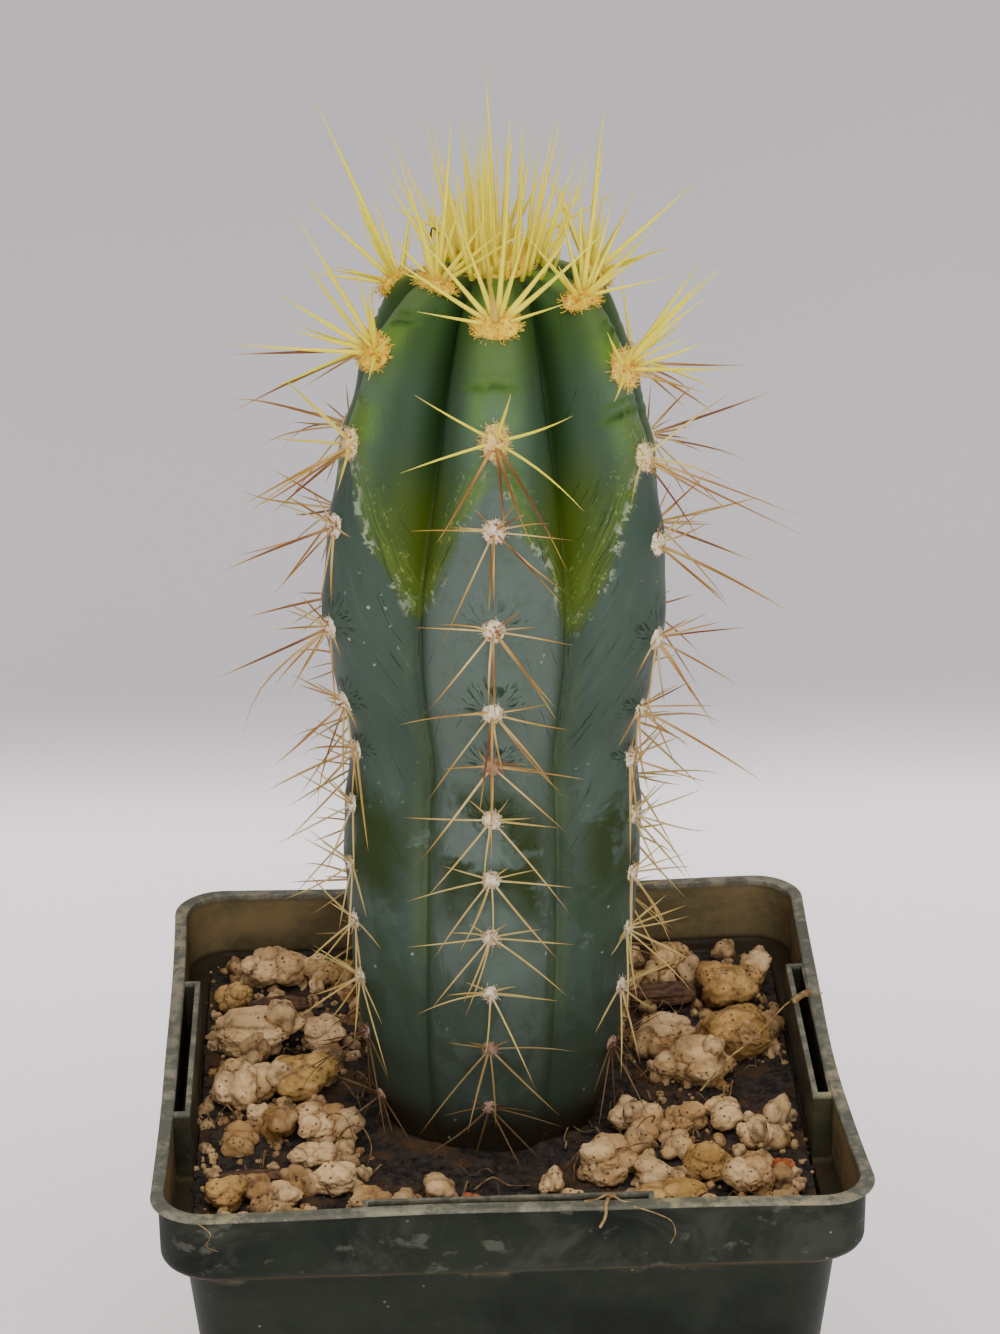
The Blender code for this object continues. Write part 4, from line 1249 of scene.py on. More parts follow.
def needle_piece(name, rows, settings, material):
    """A plain mesh of needles from rows."""
    starts, aims, sizes, bends, hooks, ages, tints = zip(*rows)
    cloud = point_cloud(
        name + "_points",
        starts,
        (
            ("root", "FLOAT_VECTOR", [tuple(v) for v in starts]),
            ("aim", "FLOAT_VECTOR", [tuple(v) for v in aims]),
            ("size", "FLOAT_VECTOR", sizes),
            ("bend", "FLOAT_VECTOR", [tuple(v) for v in bends]),
            ("hook", "FLOAT", hooks),
            ("age", "FLOAT", ages),
            ("tint", "FLOAT", tints),
        ),
    )
    tree = bpy.data.node_groups.get("needles") or needle_tree()
    values = {"Sides": settings.sides, "Steps": settings.steps, "Material": material}
    piece = run_field(name, cloud, tree, values)
    keep_attributes(piece, {"along", "age", "tint"})
    return piece


def wool_piece(name, pads, settings, material):
    """Knobbly pads with hairs, from (frame, (half width, half height, rise), youth, rust)."""
    shape = bmesh.new()
    layers = [shape.verts.layers.float.new(label) for label in ("youth", "rust", "fluff", "shag")]
    chooser = random.Random(name)
    for frame_at, size, youth, rust in pads:
        area = 2 * math.pi * size[0] * size[1]
        hairs = settings.hairs + (settings.young_hairs - settings.hairs) * youth
        values = (youth, rust, hairs / area / 1e6, 0.75 + 0.5 * youth)
        lumpy_pad(shape, frame_at, size, chooser, list(zip(layers, values)))
    pad = mesh_object(name + "_pad", shape)
    fur_source = link(bpy.data.objects.new(name + "_fur", pad.data.copy()))
    tree = bpy.data.node_groups.get("wool_hairs") or hair_tree()
    values = {"Amount": 1e6, "Length": HAIR_LENGTH, "Material": material}
    fur = run_field(name + "_fur", fur_source, tree, values)
    merged = bmesh.new()
    merged.from_mesh(pad.data)
    merged.from_mesh(fur.data)
    mesh = bpy.data.meshes.new(name)
    merged.to_mesh(mesh)
    merged.free()
    for old in (pad, fur):
        bpy.data.objects.remove(old, do_unlink=True)
    mesh.shade_smooth()
    piece = link(bpy.data.objects.new(name, mesh))
    keep_attributes(piece, {"youth", "rust"})
    return piece


# --- the pot ------------------------------------------------------------------------------
CORNER_STEPS = 10
SIDE_STEPS = 14


def rounded_square(half, height, corner, bow=0.0, corner_steps=CORNER_STEPS, side_steps=SIDE_STEPS):
    """Points of a square with round corners, its sides drawn in by bow at the middle."""
    straight = half - corner
    points = []
    for side in range(4):
        turn = Matrix.Rotation(side * math.pi / 2, 3, "Z")
        for step in range(side_steps):
            along = -1 + 2 * step / side_steps
            points.append(turn @ Vector((half - bow * (1 - along**2), along * straight, height)))
        for step in range(corner_steps):
            angle = step / corner_steps * math.pi / 2
            reach = Vector((math.cos(angle), math.sin(angle), 0)) * corner
            points.append(turn @ (Vector((straight, straight, height)) + reach))
    return points


def loft(shape, rings):
    """A closed body through rings of points, capped at both ends."""
    made = [[shape.verts.new(point) for point in ring] for ring in rings]
    for lower, upper in zip(made, made[1:]):
        for index in range(len(lower)):
            after = (index + 1) % len(lower)
            shape.faces.new((lower[index], lower[after], upper[after], upper[index]))
    shape.faces.new(reversed(made[0]))
    shape.faces.new(made[-1])
    return made


def add_box(shape, low, high, turn=None, bevel=0.0):
    """A box in a bmesh, turned and with its edges eased."""
    size = [b - a for a, b in zip(low, high)]
    middle = [(a + b) / 2 for a, b in zip(low, high)]
    place = Matrix.Translation(middle) @ Matrix.Diagonal((*size, 1.0))
    if turn is not None:
        place = turn.to_4x4() @ place
    made = bmesh.ops.create_cube(shape, size=1.0, matrix=place)["verts"]
    if bevel:
        edges = list({edge for vert in made for edge in vert.link_edges})
        bmesh.ops.bevel(shape, geom=edges, offset=bevel, segments=2, affect="EDGES", profile=0.5)


def body_half(pot, height):
    """Half width of the pot body's outside at a height."""
    top = pot.lip_width / 2 - pot.lip_overhang - pot.band_step
    return top - pot.taper * (pot.height - pot.band_height - height)


def pot_rings(pot):
    """Rings of the pot's whole skin: up the outside, over the lip and down the inside."""
    band_half = pot.lip_width / 2 - pot.lip_overhang
    band_bottom = pot.height - pot.band_height
    top_half = band_half - pot.band_step
    corner = pot.corner
    rings = []

    def ring(*values):
        rings.append(rounded_square(*values))

    for step in range(5):
        angle = step / 4 * math.pi / 2
        inset = pot.base_edge * (1 - math.sin(angle))
        height = pot.base_edge * (1 - math.cos(angle))
        ring(body_half(pot, height) - inset, height, corner - inset * 0.6)
    for part in (0.02, 0.25, 0.5, 0.75, 0.985):
        height = pot.base_edge + (band_bottom - pot.base_edge) * part
        ring(body_half(pot, height), height, corner)
    ring(top_half + 0.25 * MM, band_bottom, corner)
    for step in range(7):
        angle = step / 6 * math.pi / 2
        half = band_half - pot.band_round * (1 - math.sin(angle)) - 0.12 * MM * (1 - step / 6)
        height = band_bottom + pot.band_round * (1 - math.cos(angle))
        ring(half, height, corner, pot.bow * step / 6)
    lip_under = pot.height - pot.lip_thickness
    for height in (pot.height - 4.5 * MM, lip_under - 0.25 * MM):
        ring(band_half, height, corner, pot.bow)
    ring(band_half + 0.2 * MM, lip_under, corner, pot.bow)
    lip = pot.lip_width / 2
    for step in range(7):
        angle = -math.pi / 2 + step / 6 * math.pi
        radius = pot.lip_thickness / 2
        half = lip - radius + radius * math.cos(angle)
        height = pot.height - radius + radius * math.sin(angle)
        ring(half, height, corner, pot.bow)
    inner = band_half - pot.wall
    for half, drop in ((inner + 0.15 * MM, 0.0), (inner, 0.15 * MM), (inner, 4.0 * MM)):
        ring(half, pot.height - drop, corner - pot.wall, pot.bow)
    ledge = band_bottom + pot.wall
    ring(inner, ledge + 0.4 * MM, corner - pot.wall, pot.bow)
    ring(inner - 0.4 * MM, ledge, corner - pot.wall, pot.bow)
    ring(top_half - pot.wall + 0.3 * MM, ledge, corner - pot.wall)
    ring(top_half - pot.wall, ledge - 0.3 * MM, corner - pot.wall)
    for part in (0.6, 0.25):
        height = pot.floor + (ledge - pot.floor) * part
        ring(body_half(pot, height) - pot.wall, height, corner - pot.wall)
    ring(body_half(pot, pot.floor) - pot.wall, pot.floor, corner - pot.wall)
    return rings


def wobble_rim(shape, pot):
    """Slight unevenness of thin moulded plastic near the rim."""
    for vert in shape.verts:
        near = max(0.0, 1 - (pot.height - vert.co.z) / (14 * MM))
        if near:
            vert.co.z += noise.noise(Vector((vert.co.x, vert.co.y, 0)) * 45) * 0.22 * MM * near
            push = noise.noise(Vector((vert.co.x, vert.co.y, 9)) * 38) * 0.25 * MM * near
            vert.co += Vector((vert.co.x, vert.co.y, 0)).normalized() * push
        front = max(0.0, -vert.co.y / pot.lip_width * 2)
        vert.co.x += pot.sway * front**2 * vert.co.z / pot.height
        vert.co.x *= 1 + pot.splay * front**2


def apply_boolean(target, cutter, operation):
    """A Boolean modifier with a helper that is removed later."""
    modifier = target.modifiers.new(operation.lower(), "BOOLEAN")
    modifier.operation = operation
    modifier.solver = "EXACT"
    modifier.object = cutter
    return cutter


def pot_piece(pot):
    """The pot's finished mesh."""
    shape = bmesh.new()
    loft(shape, pot_rings(pot))
    wobble_rim(shape, pot)
    body = mesh_object("pot_body", shape)
    band_half = pot.lip_width / 2 - pot.lip_overhang
    tab_inner = band_half - pot.band_step - pot.wall + 0.15 * MM
    band_inner = band_half - pot.wall - pot.bow
    half = pot.pocket_length / 2
    ledge = pot.height - pot.band_height + pot.wall
    tab_top = pot.height - pot.pocket_drop
    blocks = bmesh.new()
    slots = bmesh.new()
    for side in range(4):
        turn = Matrix.Rotation(side * math.pi / 2, 3, "Z")
        web = half + pot.pocket_tab
        low = (tab_inner, -web, ledge - pot.wall / 2)
        add_box(blocks, low, (band_inner + 0.4 * MM, web, tab_top), turn, 0.18 * MM)
        low = (tab_inner + pot.pocket_tab, -half, ledge)
        add_box(slots, low, (band_inner, half, pot.height + pot.wall), turn)
    drains = bmesh.new()
    ring = body_half(pot, 0.0) - pot.drain_inset
    for index in range(8):
        angle = math.pi * index / 4
        reach = ring / max(abs(math.cos(angle)), abs(math.sin(angle)))
        place = Matrix.Translation((reach * math.cos(angle), reach * math.sin(angle), 0))
        bmesh.ops.create_cone(
            drains,
            cap_ends=True,
            segments=32,
            radius1=pot.drain_radius,
            radius2=pot.drain_radius,
            depth=pot.floor * 6,
            matrix=place,
        )
    helpers = [
        apply_boolean(body, mesh_object("pocket_blocks", blocks), "UNION"),
        apply_boolean(body, mesh_object("pocket_slots", slots), "DIFFERENCE"),
        apply_boolean(body, mesh_object("drains", drains), "DIFFERENCE"),
    ]
    piece = settle("nursery_pot", body)
    for helper in helpers:
        bpy.data.objects.remove(helper, do_unlink=True)
    piece.data.shade_smooth()
    piece.data.set_sharp_from_angle(angle=math.radians(38))
    return piece


# Shades of the plastic and of what clings to it.
PLASTIC = {
    "cloud": (0.018, 0.023, 0.015),
    "dent": (0.130, 0.128, 0.100),
    "speck": (0.240, 0.230, 0.180),
    "lip": (0.128, 0.126, 0.094),
    "worn": (0.300, 0.272, 0.190),
    "crust": (0.340, 0.280, 0.150),
    "under": (0.130, 0.105, 0.065),
    "inside": (0.125, 0.096, 0.048),
    "silt": (0.020, 0.014, 0.009),
}


def pot_material(pot):
    """Black-green moulded plastic with a hard-water film, scuffed lip and stained inside."""
    s = Shader("pot_plastic_look", roughness=0.55, specular=0.10)
    across, deep, height = s.split(s.place)
    cloud = s.noise(s.place, 55, 5.0, 0.62)
    fine = s.noise(s.place, 420, 4.0, 0.7)
    grain = s.noise(s.place, 2600, 2.0, 0.6)
    film_place = s.vector("MULTIPLY", s.place, (1.0, 1.0, 1.5))
    film = s.noise(film_place, 75, 6.0, 0.66, 0.8)
    top = pot.height
    band = s.ramp(height, top - pot.band_height - 1 * MM, top - pot.band_height + 2 * MM)
    wash = s.ramp(film, 0.46, 0.66) * (band * 0.62 + 0.08)
    base = s.mix(s.ramp(cloud, 0.35, 0.65), pot.plastic, PLASTIC["cloud"])
    base = s.mix(wash, base, pot.dust)
    dents = s.ramp(s.noise(film_place, 260, 3.0, 0.6), 0.6, 0.7) * band
    base = s.mix(dents * 0.4, base, PLASTIC["dent"])
    speck = s.ramp(s.cells(s.place, 420), 0.1, 0.05) * s.ramp(cloud, 0.54, 0.62)
    base = s.mix(speck * 0.7, base, PLASTIC["speck"])
    lip = s.ramp(height, top - 1.1 * MM, top - 0.45 * MM)
    base = s.mix(lip * 0.8, base, PLASTIC["lip"])
    worn = lip * s.ramp(fine + cloud * 0.6, 0.7, 0.98)
    base = s.mix(worn * 0.75, base, PLASTIC["worn"])
    crust = s.ramp(s.noise(s.place, 48, 4.0, 0.7), 0.54, 0.64) * s.ramp(fine, 0.42, 0.56)
    base = s.mix(crust * lip * 0.8, base, PLASTIC["crust"])
    levels = [top - drop * MM for drop in (12.4, 11.2, 10.8, 9.8)]
    under = s.window(height, *levels)
    under *= s.ramp(s.noise(film_place, 110, 4.0, 0.7), 0.5, 0.64)
    base = s.mix(under * 0.6, base, PLASTIC["under"])
    # inside the rim: further in than the wall's mid-line, round the corners too
    front = s.math("MAXIMUM", deep * (-2 / pot.lip_width), 0.0)
    front = front * front
    across = across / (front * pot.splay + 1.0)
    across -= front * (height * (pot.sway / top))
    sides = [s.math("ABSOLUTE", axis) for axis in (across, deep)]
    short = s.math("MINIMUM", sides[0], sides[1])
    straight = pot.lip_width / 2 - pot.lip_overhang - pot.corner
    aside = [s.math("MAXIMUM", side - straight, 0.0) for side in sides]
    drawn = (short * (1 / straight)) ** 2.0
    drawn = s.math("MAXIMUM", (1.0 - drawn) * pot.bow, 0.0)
    reach = s.vector("LENGTH", s.xyz(aside[0], aside[1], 0.0)) + drawn
    middle = pot.corner - pot.wall / 2
    inside = s.ramp(reach, middle + 0.1 * MM, middle - 0.1 * MM)
    levels = [top - drop * MM for drop in (11.5, 9.5, 1.4, 0.3)]
    inside *= s.window(height, *levels)
    # the pockets' sides stay clean and dark, with a pale line along each tab's top
    pocket_end = pot.pocket_length / 2
    pocket = inside * s.ramp(short, pocket_end + 2.5 * MM, pocket_end + 0.5 * MM)
    inside -= pocket * 0.85
    stain = inside * s.ramp(s.noise(film_place, 60, 5.0, 0.7), 0.36, 0.62)
    base = s.mix(inside * 0.8, base, PLASTIC["inside"])
    base = s.mix(stain * 0.8, base, pot.loam)
    silt = inside * s.ramp(height, top - 8.4 * MM, top - 9.4 * MM)
    base = s.mix(silt * 0.9, base, PLASTIC["silt"])
    rough = 0.45 + wash * 0.4
    rough += grain * 0.08
    relief = grain * 0.3 + fine * 0.5
    relief += worn * 0.5
    return s.done(base, rough, s.bump(relief, 0.00006))


# Dry bits caught on the rim: radius, taper, then points of a smooth line, in millimetres.
RIM_LITTER = (
    (0.26, 0.7,
        ((13.4, -42.6, 85.5), (12.5, -43.9, 86.0), (12.0, -45.1, 85.7), (11.9, -45.6, 84.3),
         (11.2, -45.5, 82.6)),
    ),
    (0.17, 0.4,
        ((9.4, -44.0, 85.5), (10.8, -44.6, 86.1), (12.4, -44.2, 86.5), (14.0, -44.8, 85.9),
         (15.1, -44.1, 85.3)),
    ),
    (0.09, 0.3,
        ((15.4, -45.2, 85.3), (18.0, -45.6, 84.5), (20.1, -45.2, 83.0), (20.6, -45.0, 81.0),
         (20.0, -44.9, 79.6)),
    ),
    (0.07, 0.3,
        ((-38.6, -45.4, 84.9), (-37.0, -45.6, 83.4), (-37.6, -45.4, 81.6), (-36.2, -45.2, 80.6)),
    ),
    (0.16, 0.5,
        ((27.0, -4.0, 77.6), (31.0, -0.5, 80.4), (34.6, 2.4, 81.6), (37.6, 4.4, 83.9),
         (40.2, 5.8, 85.6), (44.6, 7.4, 85.8)),
    ),
    (0.52, 0.8, ((40.2, 5.0, 85.8), (41.6, 6.2, 86.2), (42.8, 7.6, 85.9))),
    (0.12, 0.4, ((34.6, 2.4, 81.6), (35.8, 0.6, 82.6), (38.4, -0.6, 82.4))),
)
# Roots that curl up at the stem's foot.
FOOT_LITTER = (
    (0.16, 0.5,
        ((-22.0, -12.0, 76.0), (-20.4, -13.0, 78.8), (-18.4, -14.2, 79.6),
         (-17.2, -15.8, 77.6), (-17.8, -17.4, 75.6)),
    ),
    (0.13, 0.4,
        ((-24.0, -9.0, 76.5), (-22.6, -11.0, 79.8), (-20.6, -12.6, 80.2), (-19.4, -14.6, 77.8)),
    ),
    (0.24, 0.6,
        ((12.4, -22.6, 75.2), (13.6, -21.6, 77.0), (14.2, -20.6, 78.8), (12.8, -19.8, 79.4),
         (11.0, -20.2, 78.6)),
    ),
    (0.15, 0.4,
        ((13.8, -20.8, 78.6), (16.4, -20.4, 79.2), (19.4, -18.8, 78.6), (21.4, -17.2, 76.4)),
    ),
    (0.14, 0.4,
        ((8.0, -19.6, 75.5), (10.4, -18.6, 78.0), (12.8, -17.6, 78.6), (15.4, -16.8, 76.4)),
    ),
    (0.15, 0.5,
        ((19.0, -12.0, 76.2), (20.2, -13.8, 79.6), (18.6, -15.6, 80.2), (17.0, -14.6, 77.0)),
    ),
    (0.18, 0.5, ((-4.0, -24.0, 75.4), (-1.6, -23.0, 76.6), (0.6, -24.4, 76.2), (3.4, -23.6, 75.6))),
)


# --- soil, stones and litter ----------------------------------------------------------------
def soil_height(form, soil, half, x, y):
    """Height of the soil's surface, without its crumbs."""
    reach = math.hypot(x - form.offset, y) / half
    return form.soil + soil.mound * max(0.0, 1 - reach) ** 1.5


def rough_soil_height(form, soil, half, x, y):
    """Height of the soil's surface with its hollows and clods."""
    here = Vector((x, y, 0.0))
    lump = noise.noise(here * 130) * 0.75 + noise.noise(here * 330 + Vector((5, 2, 8))) * 0.40
    lump += noise.noise(here * 900) * 0.18
    return soil_height(form, soil, half, x, y) + (lump - 0.25) * MM


def soil_piece(form, soil, pot):
    """The block of soil with a crumbly top."""
    shape = bmesh.new()
    gap = 0.3 * MM
    corner = pot.corner - pot.wall - gap
    bottom = pot.floor + gap
    half = body_half(pot, form.soil) - pot.wall - gap
    rings = []
    for part in (0.0, 0.35, 0.7, 0.97):
        height = bottom + (form.soil - bottom) * part
        wide = body_half(pot, height) - pot.wall - gap
        rings.append(rounded_square(wide, height, corner, 0, 12, 24))
    for step in range(44):
        part = 1 - step / 44 * 0.86
        ring = rounded_square(half * part, form.soil, corner * part, 0, 12, 24)
        for point in ring:
            point.z = rough_soil_height(form, soil, half, point.x, point.y)
        rings.append(ring)
    loft(shape, rings)
    return mesh_object("soil_block", shape, math.radians(60))


# Shades of the compost.
COMPOST = {
    "pit": (0.014, 0.010, 0.008),
    "brown": (0.095, 0.050, 0.022),
    "chaff": (0.230, 0.150, 0.080),
}


def soil_material(soil):
    """Damp compost: near-black with brown crumbs and pale fibres."""
    s = Shader("compost", roughness=0.92, specular=0.25)
    crumb = s.noise(s.place, 700, 5.0, 0.7)
    cloud = s.noise(s.place, 120, 3.0, 0.6)
    base = s.mix(s.ramp(crumb, 0.35, 0.65), COMPOST["pit"], soil.loam)
    base = s.mix(s.ramp(cloud, 0.48, 0.64) * 0.8, base, COMPOST["brown"])
    pale = s.ramp(s.cells(s.place, 900), 0.14, 0.06)
    base = s.mix(pale * s.ramp(cloud, 0.5, 0.62), base, COMPOST["chaff"])
    return s.done(base, None, s.bump(crumb, 0.0006))


def stone_material(name, tone, shade):
    """Porous volcanic stone: pale knobs; painted shade in creases, pores and low down; grime."""
    s = Shader(name, roughness=0.95, specular=0.12)
    pale = tuple(min(0.95, value * 1.45 + 0.05) for value in tone)
    earth_and_shade = (0.075, 0.038, 0.016)
    cloud = s.noise(s.place, 150, 4.0, 0.6)
    stain = s.noise(s.place, 330, 4.0, 0.65, 0.8)
    fine = s.noise(s.place, 1300, 4.0, 0.7)
    pore = s.ramp(s.cells(s.place, 1250), 0.30, 0.10)
    pore *= s.ramp(s.noise(s.place, 420, 2.0, 0.5), 0.42, 0.56)
    base = s.mix(s.attribute("tone"), shade, tone)
    base = s.mix(s.ramp(cloud, 0.42, 0.64) * 0.75, base, pale)
    base = s.mix(s.ramp(stain, 0.5, 0.68) * 0.65, base, shade)
    base = s.mix(s.ramp(fine, 0.56, 0.72) * 0.4, base, pale)
    # painted shade: creases and pits darkened to brown
    crease = s.attribute("crease") * s.ramp(fine, 0.2, 0.7)
    base = s.mix(crease * 0.9, base, earth_and_shade)
    # painted shade low on the big stones, random grime on the small lumps
    shade_and_grime_mask = cloud * 0.6 + stain * 0.5
    shade_and_grime_mask = s.attribute("shade_and_grime") * s.ramp(shade_and_grime_mask, 0.35, 0.75)
    base = s.mix(shade_and_grime_mask, base, earth_and_shade)
    # painted shade: the pores darkened
    base = s.mix(pore * 0.8, base, (0.110, 0.058, 0.026))
    relief = fine * 0.9 - pore
    return s.done(base, None, s.bump(relief, 0.00030))


STONE_SUNK = 0.7 * MM


def knobbly(directions, chooser, knobs=8):
    """Popcorn-like lump: for each direction its point and how deep it lies in a crease, the mask of
    painted shade.
    """
    directions = np.array(directions)
    centres = np.array([[chooser.gauss(0, 1) for _ in range(3)] for _ in range(knobs)])
    centres /= np.linalg.norm(centres, axis=1)[:, None]
    reach = np.array([chooser.uniform(0.38, 0.66) for _ in range(knobs)])
    size = np.array([chooser.uniform(0.34, 0.56) for _ in range(knobs)])
    along = directions @ (centres * reach[:, None]).T
    inside = along**2 - reach**2 + size**2
    knob = np.where(inside > 0, along + np.sqrt(np.maximum(inside, 0)), 0.0)
    core = np.full((len(directions), 1), 0.62)
    every = np.sort(np.hstack([knob, core]), axis=1)
    best, second = every[:, -1], every[:, -2]
    crease = np.exp(-(((best - second) / 0.07) ** 2)) * np.clip((0.95 - best) / 0.3, 0, 1)
    blend = best + 0.03 * np.exp(-(((best - second) / 0.05) ** 2))
    offset = Vector([chooser.uniform(-60, 60) for _ in range(3)])
    points = []
    for direction, radius, deep in zip(directions, blend, crease):
        way = Vector(direction)
        bump = 0.10 * noise.noise(way * 2.3 + offset) + 0.07 * noise.noise(way * 5.5 + offset)
        bump += 0.045 * noise.noise(way * 12 + offset)
        near = noise.voronoi(way * 3.6 + offset)[0][0]
        pit = max(0.0, 1 - near / 0.34) ** 1.5
        points.append((*(way * radius * (1 + bump - 0.22 * pit)), min(1.0, deep + 0.9 * pit)))
    return points


def stone_piece(name, low, high, chooser, detail, sunk, grow=1.0):
    """A detailed lump that fills a solid's box, grown about its middle and let into the soil."""
    shape = bmesh.new()
    bmesh.ops.create_icosphere(shape, subdivisions=detail, radius=1.0)
    found = np.array(knobbly([tuple(vert.co) for vert in shape.verts], chooser))
    spread = found[:, :3]
    least, most = spread.min(0), spread.max(0)
    middle = (np.array(high) + np.array(low)) / 2
    target_low = middle + (np.array(low) - middle) * grow - (0, 0, sunk)
    target_high = middle + (np.array(high) - middle) * grow
    scaled = (spread - least) / (most - least) * (target_high - target_low) + target_low
    layers = {label: shape.verts.layers.float.new(label) for label in ("tone", "shade_and_grime", "crease")}
    shade = chooser.uniform(0.25, 1.0)
    tall = target_high[2] - target_low[2]
    for vert, place, deep in zip(shape.verts, scaled, found[:, 3]):
        vert.co = place
        vert[layers["tone"]] = shade
        # painted shade: darker towards each stone's bottom
        vert[layers["shade_and_grime"]] = max(0.0, min(1.0, 0.95 - 1.5 * (place[2] - target_low[2]) / tall))
        vert[layers["crease"]] = deep
    return mesh_object(name, shape)


def lump_tree(name, subdivisions, knobs, scatter):
    """Small popcorn-like lumps, strewn over a sheet or set on points that carry their size."""
    field = Field(name)
    place = field.value("GeometryNodeInputPosition")
    if scatter:
        amount, least, most = field.inputs("Float", "Density", "Least", "Most")
        spots = field.strewn(amount, 3).outputs["Points"]
        size = least + (most - least) * field.random(0.0, 1.0, 8) ** 3.0
    else:
        spots = field.add("GeometryNodeMeshToPoints", field.source.outputs[0])
        size = field.named("size")
    kinds = field.add("GeometryNodeGeometryToInstance")
    for kind in range(6):
        named = {"Radius": 1.0, "Subdivisions": subdivisions}
        ball = field.add("GeometryNodeMeshIcoSphere", named=named)
        settings = {"voronoi_dimensions": "4D"}
        named = {"Vector": place, "W": 3.7 * kind, "Scale": 1.15}
        cell = field.value("ShaderNodeTexVoronoi", settings=settings, named=named)
        settings = {"noise_dimensions": "4D"}
        named = {"Vector": place, "W": 5.1 * kind, "Scale": 1.4, "Detail": 3.0}
        bumps = field.value("ShaderNodeTexNoise", settings=settings, named=named)
        push = (0.55 - cell) + (bumps - 0.5)
        shift = field.vector("SCALE", place, push * knobs)
        # how deep each point lies in a hollow, which the stones paint as shade
        creased = field.store(ball, "crease", field.ramp(cell, 0.52, 0.80))
        named = {"Geometry": creased, "Offset": shift}
        lump = field.add("GeometryNodeSetPosition", named=named)
        named = {"Geometry": lump, "Scale": (1.0, 0.76 + 0.06 * kind, 0.62 + 0.05 * kind)}
        field.put(kinds.inputs[0], field.add("GeometryNodeTransform", named=named))
    turned = field.random((0, 0, 0), (6.2832, 6.2832, 6.2832), 5, "FLOAT_VECTOR")
    placed = field.on_points(spots, kinds, turned, size, pick=True)
    toned = field.store(placed, "tone", field.random(0.0, 1.0, 12), "INSTANCE")
    # random darkening for each small lump, read as grime
    return field.end(field.store(toned, "shade_and_grime", field.random(0.0, 0.75, 13), "INSTANCE"))


def nestled(form, soil, half, chooser, taken):
    """(place, size) of small lumps let down where the big ones leave the deepest gaps."""
    heaps = [((low + high) / 2, (high - low) / 2) for low, high in taken]

    def ground(x, y):
        best = rough_soil_height(form, soil, half, x, y)
        for middle, radii in heaps:
            off = ((x - middle.x) / radii.x) ** 2 + ((y - middle.y) / radii.y) ** 2
            if off < 1:
                best = max(best, middle.z + radii.z * (math.sqrt(1 - off) - 0.25))
        return best

    found = []
    while len(found) < soil.fill:
        size = (0.7 + 2.0 * chooser.random() ** 1.8) * MM
        tries = []
        for _ in range(4):
            x, y = (chooser.uniform(-1, 1) * (half - size) for _ in range(2))
            if strewn_with_stones(form, x, y):
                tries.append((ground(x, y), x, y))
        if tries:
            z, x, y = min(tries)
            z = min(z, form.soil + 7 * MM)
            found.append(((x, y, z + size * 0.35), size))
            heaps.append((Vector((x, y, z + size * 0.35)), Vector((size, size, size * 0.8))))
    return found


def strewn_with_stones(form, x, y):
    """Whether stones cover the soil here: not by the stem, nor on the bare strips."""
    near_stem = math.hypot(x - form.offset, y) < 21 * MM
    front = abs(x + 1 * MM) < 17 * MM and y < -16 * MM
    side = x > 31 * MM and abs(y) < 7 * MM
    return not (near_stem or front or side)


def soil_top(name, form, soil, pot, keep):
    """The soil's surface as a sheet of faces whose middles pass a test."""
    half = body_half(pot, form.soil) - pot.wall
    count = 70
    shape = bmesh.new()
    grid = []
    for row in range(count + 1):
        line = []
        for column in range(count + 1):
            x = (column / count * 2 - 1) * half
            y = (row / count * 2 - 1) * half
            line.append(shape.verts.new((x, y, rough_soil_height(form, soil, half, x, y))))
        grid.append(line)
    for row in range(count):
        for column in range(count):
            near, far = grid[row], grid[row + 1]
            corners = (near[column], near[column + 1], far[column + 1], far[column])
            middle = sum((corner.co for corner in corners), Vector()) / 4
            if keep(middle):
                shape.faces.new(corners)
    loose = [vert for vert in shape.verts if not vert.link_faces]
    bmesh.ops.delete(shape, geom=loose, context="VERTS")
    made = mesh_object(name, shape)
    made.data.flip_normals() if made.data.polygons[0].normal.z < 0 else None
    return made


def tube(shape, points, radius, sides=5, taper=0.4):
    """A closed tapering tube through points."""
    rings = []
    for index, point in enumerate(points):
        before = points[max(0, index - 1)]
        after = points[min(len(points) - 1, index + 1)]
        run = (after - before).normalized()
        aside = run.cross(Vector((0.3, 0.2, 1.0))).normalized()
        over = run.cross(aside)
        part = index / (len(points) - 1)
        wide = radius * (1 - (1 - taper) * part)
        ring = []
        for corner in range(sides):
            angle = 2 * math.pi * corner / sides
            ring.append(point + (aside * math.cos(angle) + over * math.sin(angle)) * wide)
        rings.append(ring)
    loft(shape, rings)


def wander(start, heading, step, count, chooser, height_at, curl=0.5, lift=0.3 * MM):
    """Points of a dry fibre that wanders over a surface."""
    points = []
    here = Vector(start)
    angle = heading
    drift = chooser.uniform(-curl, curl)
    for index in range(count):
        over = lift * (1 + math.sin(index * 1.3))
        points.append(Vector((here.x, here.y, height_at(here.x, here.y) + over)))
        drift = 0.7 * drift + chooser.uniform(-curl, curl)
        angle += drift
        here += Vector((math.cos(angle), math.sin(angle), 0)) * step
    return points


def fibre_material(name, tone, dark):
    """Dry root or straw."""
    s = Shader(name, roughness=0.85, specular=0.2)
    streak = s.noise(s.place, 900, 3.0, 0.6)
    cloud = s.noise(s.place, 200, 2.0, 0.5)
    base = s.mix(s.ramp(streak, 0.35, 0.7), dark, tone)
    base = s.mix(s.ramp(cloud, 0.5, 0.7) * 0.5, base, (0.080, 0.045, 0.025))
    return s.done(base, None, s.bump(streak, 0.0002))


def litter_piece(name, forms):
    """Dry stalks and roots through given points: (radius, taper, points), in millimetres."""
    shape = bmesh.new()
    for radius, taper, points in forms:
        count = (len(points) - 1) * 6
        run = [Vector(smooth_point(points, step / 6)) * MM for step in range(count + 1)]
        tube(shape, run, radius * MM, 6, taper)
    return mesh_object(name, shape)


